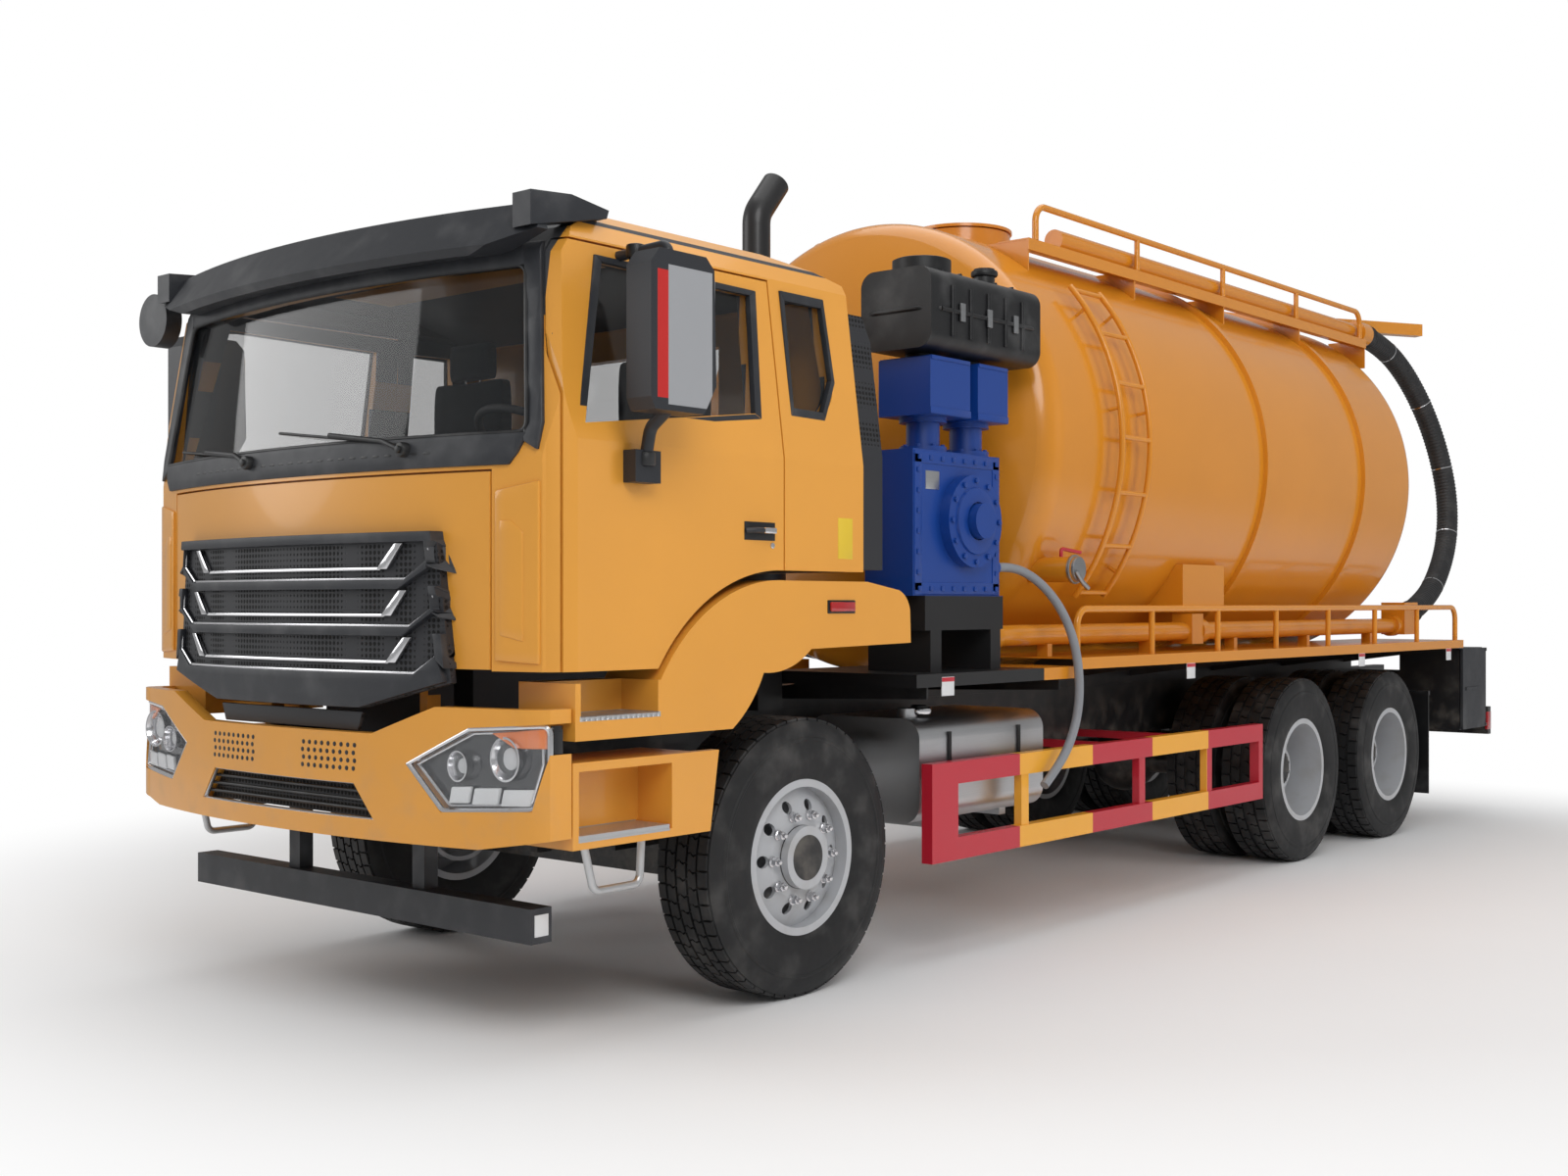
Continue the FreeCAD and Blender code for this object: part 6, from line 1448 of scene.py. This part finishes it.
    def hose(self) -> None:
        """The ribbed suction hose on its route, with thin wire clips."""
        route = [(0.660, 6.800, 3.440), (0.680, 7.110, 3.395), (0.735, 7.390, 3.230),
                 (0.810, 7.590, 2.960), (0.880, 7.700, 2.640), (0.935, 7.720, 2.310),
                 (0.970, 7.610, 1.995), (0.990, 7.380, 1.740), (1.000, 7.080, 1.545),
                 (1.000, 6.740, 1.450)]
        data = bpy.data.curves.new("hose_route", "CURVE")
        data.dimensions = "3D"
        spline = data.splines.new("NURBS")
        spline.points.add(len(route) - 1)
        for spot, (x, y, z) in zip(spline.points, route):
            spot.co = (x, back(y), z, 1.0)
        spline.order_u = 3
        spline.use_endpoint_u = True
        spline.resolution_u = 40
        line = bpy.data.objects.new("hose_route", data)
        bpy.context.scene.collection.objects.link(line)
        bpy.context.view_layer.update()
        mesh = bpy.data.meshes.new_from_object(
            line.evaluated_get(bpy.context.evaluated_depsgraph_get()))
        path = [vert.co.copy() for vert in mesh.vertices]
        bpy.data.meshes.remove(mesh)
        bpy.data.objects.remove(line)
        path = evened(path, 0.0065)
        piece = Piece("suction_hose_ribs", "chassis", "hose_rubber", ("suction_hose",))
        piece.take(swept(path, lambda run: 0.0725 + 0.0025 * math.cos(2 * math.pi * run / 0.026),
                         28), HOSE_RUBBER)
        for share in (0.12, 0.30, 0.47, 0.64, 0.82):
            number = int(len(path) * share)
            piece.take(swept(path[number:number + 2], lambda _: 0.0762, 28), CHROME)
        for number in (0, -1):
            near = path[:12] if number == 0 else path[-12:]
            piece.take(swept(near, lambda run: 0.080 + 0.003 * math.cos(2 * math.pi * run / 0.02),
                             28), DARK_PLASTIC)
        piece.done(1.2)

    def tanks(self) -> None:
        """Straps and cap of the fuel tank, and the valve on the walkway pipe."""
        piece = Piece("fuel_tank_straps", "chassis", "aluminium")
        low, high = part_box("fuel_tank")
        for share in (0.22, 0.78):
            y = low[1] + (high[1] - low[1]) * share
            piece.tube([(high[0] + 0.002, y, low[2] + 0.08), (high[0] + 0.002, y, high[2] - 0.10)],
                       0.011, DARK_PLASTIC, 0.03)
        piece.disc((high[0] - 0.12, low[1] + 0.16, high[2] - 0.012), Axis.Z, 0.055, 0.03, CHROME,
                   0.008)
        piece.disc((high[0] - 0.12, low[1] + 0.16, high[2] + 0.004), Axis.Z, 0.036, 0.02,
                   DARK_PLASTIC, 0.006)
        piece.done()
        valve = Piece("side_valve_lever", "chassis", "steel")
        y = back(2.01)
        valve.disc((1.194, y, 1.690), Axis.X, 0.060, 0.022, STEEL, 0.005)
        valve.disc((1.176, y, 1.690), Axis.X, 0.071, 0.016, STEEL, 0.004)
        valve.tube([(1.10, y, 1.75), (1.10, y, 1.79), (1.11, y + 0.16, 1.775)], 0.009, RED_PAINT,
                   0.02)
        valve.tube([(1.21, y - 0.045, 1.68), (1.222, y - 0.01, 1.63), (1.215, y + 0.055, 1.60)],
                   0.012, STEEL, 0.04)
        valve.done()


def cab_side_at(level: float) -> float:
    """How far out the cab's side is at this height: upright, then leaning in above the belt."""
    belt, roof_edge, lean = 2.01, 2.80, 0.09
    return 1.25 - lean * max(0.0, level - belt) / (roof_edge - belt)


def evened(points: list[Vector], step: float) -> list[Vector]:
    """The same line with its points at even distances."""
    made, rest = [points[0]], step
    for first, second in zip(points, points[1:]):
        length = (second - first).length
        while length > 1e-9 and rest <= length:
            made.append(first.lerp(second, rest / length))
            rest += step
        rest -= length
    return made


# ------------------------------------------------------------------ CAD nodes that keep their shape
NODE_FINISHES: dict[str, Finish] = {
    "chassis_frame": BLACK_PAINT, "engine_block": IRON, "front_axle": BLACK_PAINT,
    "rear_axles": BLACK_PAINT, "front_bumper": CAB_PAINT, "headlamps": LENS_GLASS,
    "underrun_bar": GREY_PLASTIC, "cab_steps": STEP_PAINT, "cab_fenders": STEP_PAINT,
    "wheel_guards": DARK_PLASTIC, "fuel_tank": ALUMINIUM, "battery_box": BLACK_PAINT,
    "side_guards": GUARD_PAINT, "exhaust_stack": BLACK_PAINT, "tool_boxes": BLACK_PAINT,
    "rear_bumper": BLACK_PAINT, "tank_shell": TANK_PAINT, "walkways": DECK_PAINT,
    "handrails": TANK_PAINT, "side_ladder": TANK_PAINT, "vacuum_pump": PUMP_ZONED,
    "air_filter_box": DARK_PLASTIC, "suction_pipes": TANK_PAINT, "hose_arm": TANK_PAINT,
    "suction_hose": HOSE_RUBBER, "cab_shell": LINED_PAINT, "cab_glass": WINDOW_GLASS,
    "sun_visor": GREY_PLASTIC, "front_mirror": GREY_PLASTIC, "intake_louvres": NET,
    "dashboard": CABIN_PLASTIC, "steering_wheel": CABIN_PLASTIC, "left_door": LINED_PAINT,
    "right_door": LINED_PAINT, "left_door_glass": WINDOW_GLASS, "right_door_glass": WINDOW_GLASS,
    "left_mirror": MIRROR_SHELL, "right_mirror": MIRROR_SHELL, "front_lid": CAB_PAINT,
    "grille": DARK_PLASTIC, "left_knuckle": IRON, "right_knuckle": IRON,
    "manhole_lid": TANK_PAINT, "left_box_door": GREY_PLASTIC, "right_box_door": GREY_PLASTIC,
}
WHEEL_FINISHES = {"rim": WHEEL_PAINT, "rims": WHEEL_PAINT, "tyre": TYRE_RUBBER,
                  "tyres": TYRE_RUBBER}


def dress_nodes(nodes: dict[str, bpy.types.Object]) -> None:
    """Gives every CAD node that is still shown its finish.

    Args:
        nodes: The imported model's objects by name.
    """
    for name, item in nodes.items():
        finish = NODE_FINISHES.get(name) or WHEEL_FINISHES.get(name.rsplit("_", 1)[-1])
        if finish is None or item.hide_render:
            continue
        item.data.materials.clear()
        item.data.materials.append(finish.material())


# ------------------------------------------------------------------ stage
@dataclass
class Studio:
    """Camera, lamps, world and floor."""

    eye: Point = (5.445, -8.197, 1.524)
    azimuth: float = 39.68
    lens: float = 39.18
    shift: tuple[float, float] = (-0.0219, 0.0096)

    def build(self) -> None:
        """Sets the whole stage."""
        self.camera()
        self.floor()
        self.lamps()
        bpy.context.scene.view_settings.view_transform = "Standard"

    def camera(self) -> None:
        """The camera, low and ahead of the left front corner."""
        data = bpy.data.cameras.new("camera")
        data.lens, data.sensor_width = self.lens, 36.0
        data.shift_x, data.shift_y = self.shift
        data.clip_end = 200.0
        item = bpy.data.objects.new("camera", data)
        item.location = self.eye
        item.rotation_euler = (math.radians(90.03), 0.0, math.radians(self.azimuth))
        bpy.context.scene.collection.objects.link(item)
        bpy.context.scene.camera = item

    def floor(self) -> None:
        """A pale floor that passes into plain white away from the truck."""
        form = bmesh.new()
        bmesh.ops.create_grid(form, x_segments=1, y_segments=1, size=60.0)
        item = linked("floor", form)
        graph = Graph("floor")
        pale = graph.mix((0.90, 0.90, 0.905), (0.94, 0.94, 0.942), graph.noise(0.6))
        made = graph.close(Base__Color=pale, Roughness=graph.noise(8.0) * 0.1 + 0.6)
        self.fade(graph)
        item.data.materials.append(made)

    def fade(self, graph: Graph) -> None:
        """Lets the floor pass into plain white away from the truck, for camera rays."""
        nodes, links = graph.tree.nodes, graph.tree.links
        output = nodes["Material Output"]
        shaded = output.inputs["Surface"].links[0].from_socket
        glow = nodes.new("ShaderNodeEmission")
        glow.inputs["Color"].default_value = (1.0, 1.0, 1.0, 1.0)
        away = nodes.new("ShaderNodeVectorMath")
        away.operation = "LENGTH"
        links.new(nodes.new("ShaderNodeNewGeometry").outputs["Position"], away.inputs[0])
        far = Wire(graph, away.outputs["Value"]).ramp(3.8, 6.8)
        rays = nodes.new("ShaderNodeLightPath")
        blend = nodes.new("ShaderNodeMixShader")
        links.new((far * Wire(graph, rays.outputs["Is Camera Ray"])).socket, blend.inputs[0])
        links.new(shaded, blend.inputs[1])
        links.new(glow.outputs[0], blend.inputs[2])
        links.new(blend.outputs[0], output.inputs["Surface"])

    def lamps(self) -> None:
        """Soft boxes above, in front and at the side, and a white surround."""
        for name, spot, aim, size, power in (
                ("key", (7.5, -8.0, 7.5), (0.5, -2.5, 1.4), 6.0, 400.0),
                ("top", (0.0, 0.0, 9.5), (0.0, 0.0, 1.0), 10.0, 330.0),
                ("side", (10.0, 3.0, 4.0), (0.0, 1.0, 1.4), 6.0, 225.0),
                ("fill", (-7.0, -9.0, 5.0), (0.0, -3.0, 1.5), 6.0, 200.0)):
            data = bpy.data.lights.new(name, "AREA")
            data.shape, data.size, data.energy = "DISK", size, power
            item = bpy.data.objects.new(name, data)
            item.location = spot
            way = Vector(aim) - Vector(spot)
            item.rotation_euler = way.to_track_quat("-Z", "Y").to_euler()
            item.visible_glossy = name != "side"
            bpy.context.scene.collection.objects.link(item)
        world = bpy.data.worlds.new("surround")
        world.use_nodes = True
        ground = world.node_tree.nodes["Background"]
        ground.inputs["Color"].default_value = (1.0, 1.0, 1.0, 1.0)
        ground.inputs["Strength"].default_value = 0.38
        bright = world.node_tree.nodes.new("ShaderNodeBackground")
        bright.inputs["Color"].default_value = (1.0, 1.0, 1.0, 1.0)
        bright.inputs["Strength"].default_value = 1.0
        choice = world.node_tree.nodes.new("ShaderNodeMixShader")
        rays = world.node_tree.nodes.new("ShaderNodeLightPath")
        links = world.node_tree.links
        links.new(rays.outputs["Is Camera Ray"], choice.inputs[0])
        links.new(ground.outputs[0], choice.inputs[1])
        links.new(bright.outputs[0], choice.inputs[2])
        links.new(choice.outputs[0], world.node_tree.nodes["World Output"].inputs[0])
        bpy.context.scene.world = world


def drain_hose() -> None:
    """The short grey hose from the pump's outlet down behind the side guard."""
    route = [(1.070, 1.486, 1.690), (1.075, 1.610, 1.700), (1.130, 1.725, 1.650),
             (1.205, 1.800, 1.540), (1.262, 1.845, 1.390), (1.290, 1.862, 1.220),
             (1.297, 1.850, 1.050), (1.296, 1.790, 0.905), (1.290, 1.690, 0.785),
             (1.285, 1.565, 0.700)]
    data = bpy.data.curves.new("drain_hose_line", "CURVE")
    data.dimensions = "3D"
    spline = data.splines.new("NURBS")
    spline.points.add(len(route) - 1)
    for spot, (x, y, z) in zip(spline.points, route):
        spot.co = (x, back(y), z, 1.0)
    spline.order_u = 3
    spline.use_endpoint_u = True
    spline.resolution_u = 12
    data.bevel_depth = 0.021
    data.bevel_resolution = 6
    data.use_fill_caps = True
    data.materials.append(GREY_RUBBER.material())
    item = bpy.data.objects.new("drain_hose_line", data)
    bpy.context.scene.collection.objects.link(item)
    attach(item, "chassis")
    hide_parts("drain_hose")


def main() -> None:
    """Builds the whole scene."""
    logging.basicConfig(level=logging.INFO, format="%(message)s")
    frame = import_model()
    Studio().build()
    drain_hose()
    repeater = Repeater()
    nodes = frame["nodes"]
    for builder in (Seats, Wheels, FrontEnd, SideTrim, PumpSet):
        builder(repeater, nodes).build()
    dress_nodes(frame["nodes"])


if __name__ == "__main__":
    main()
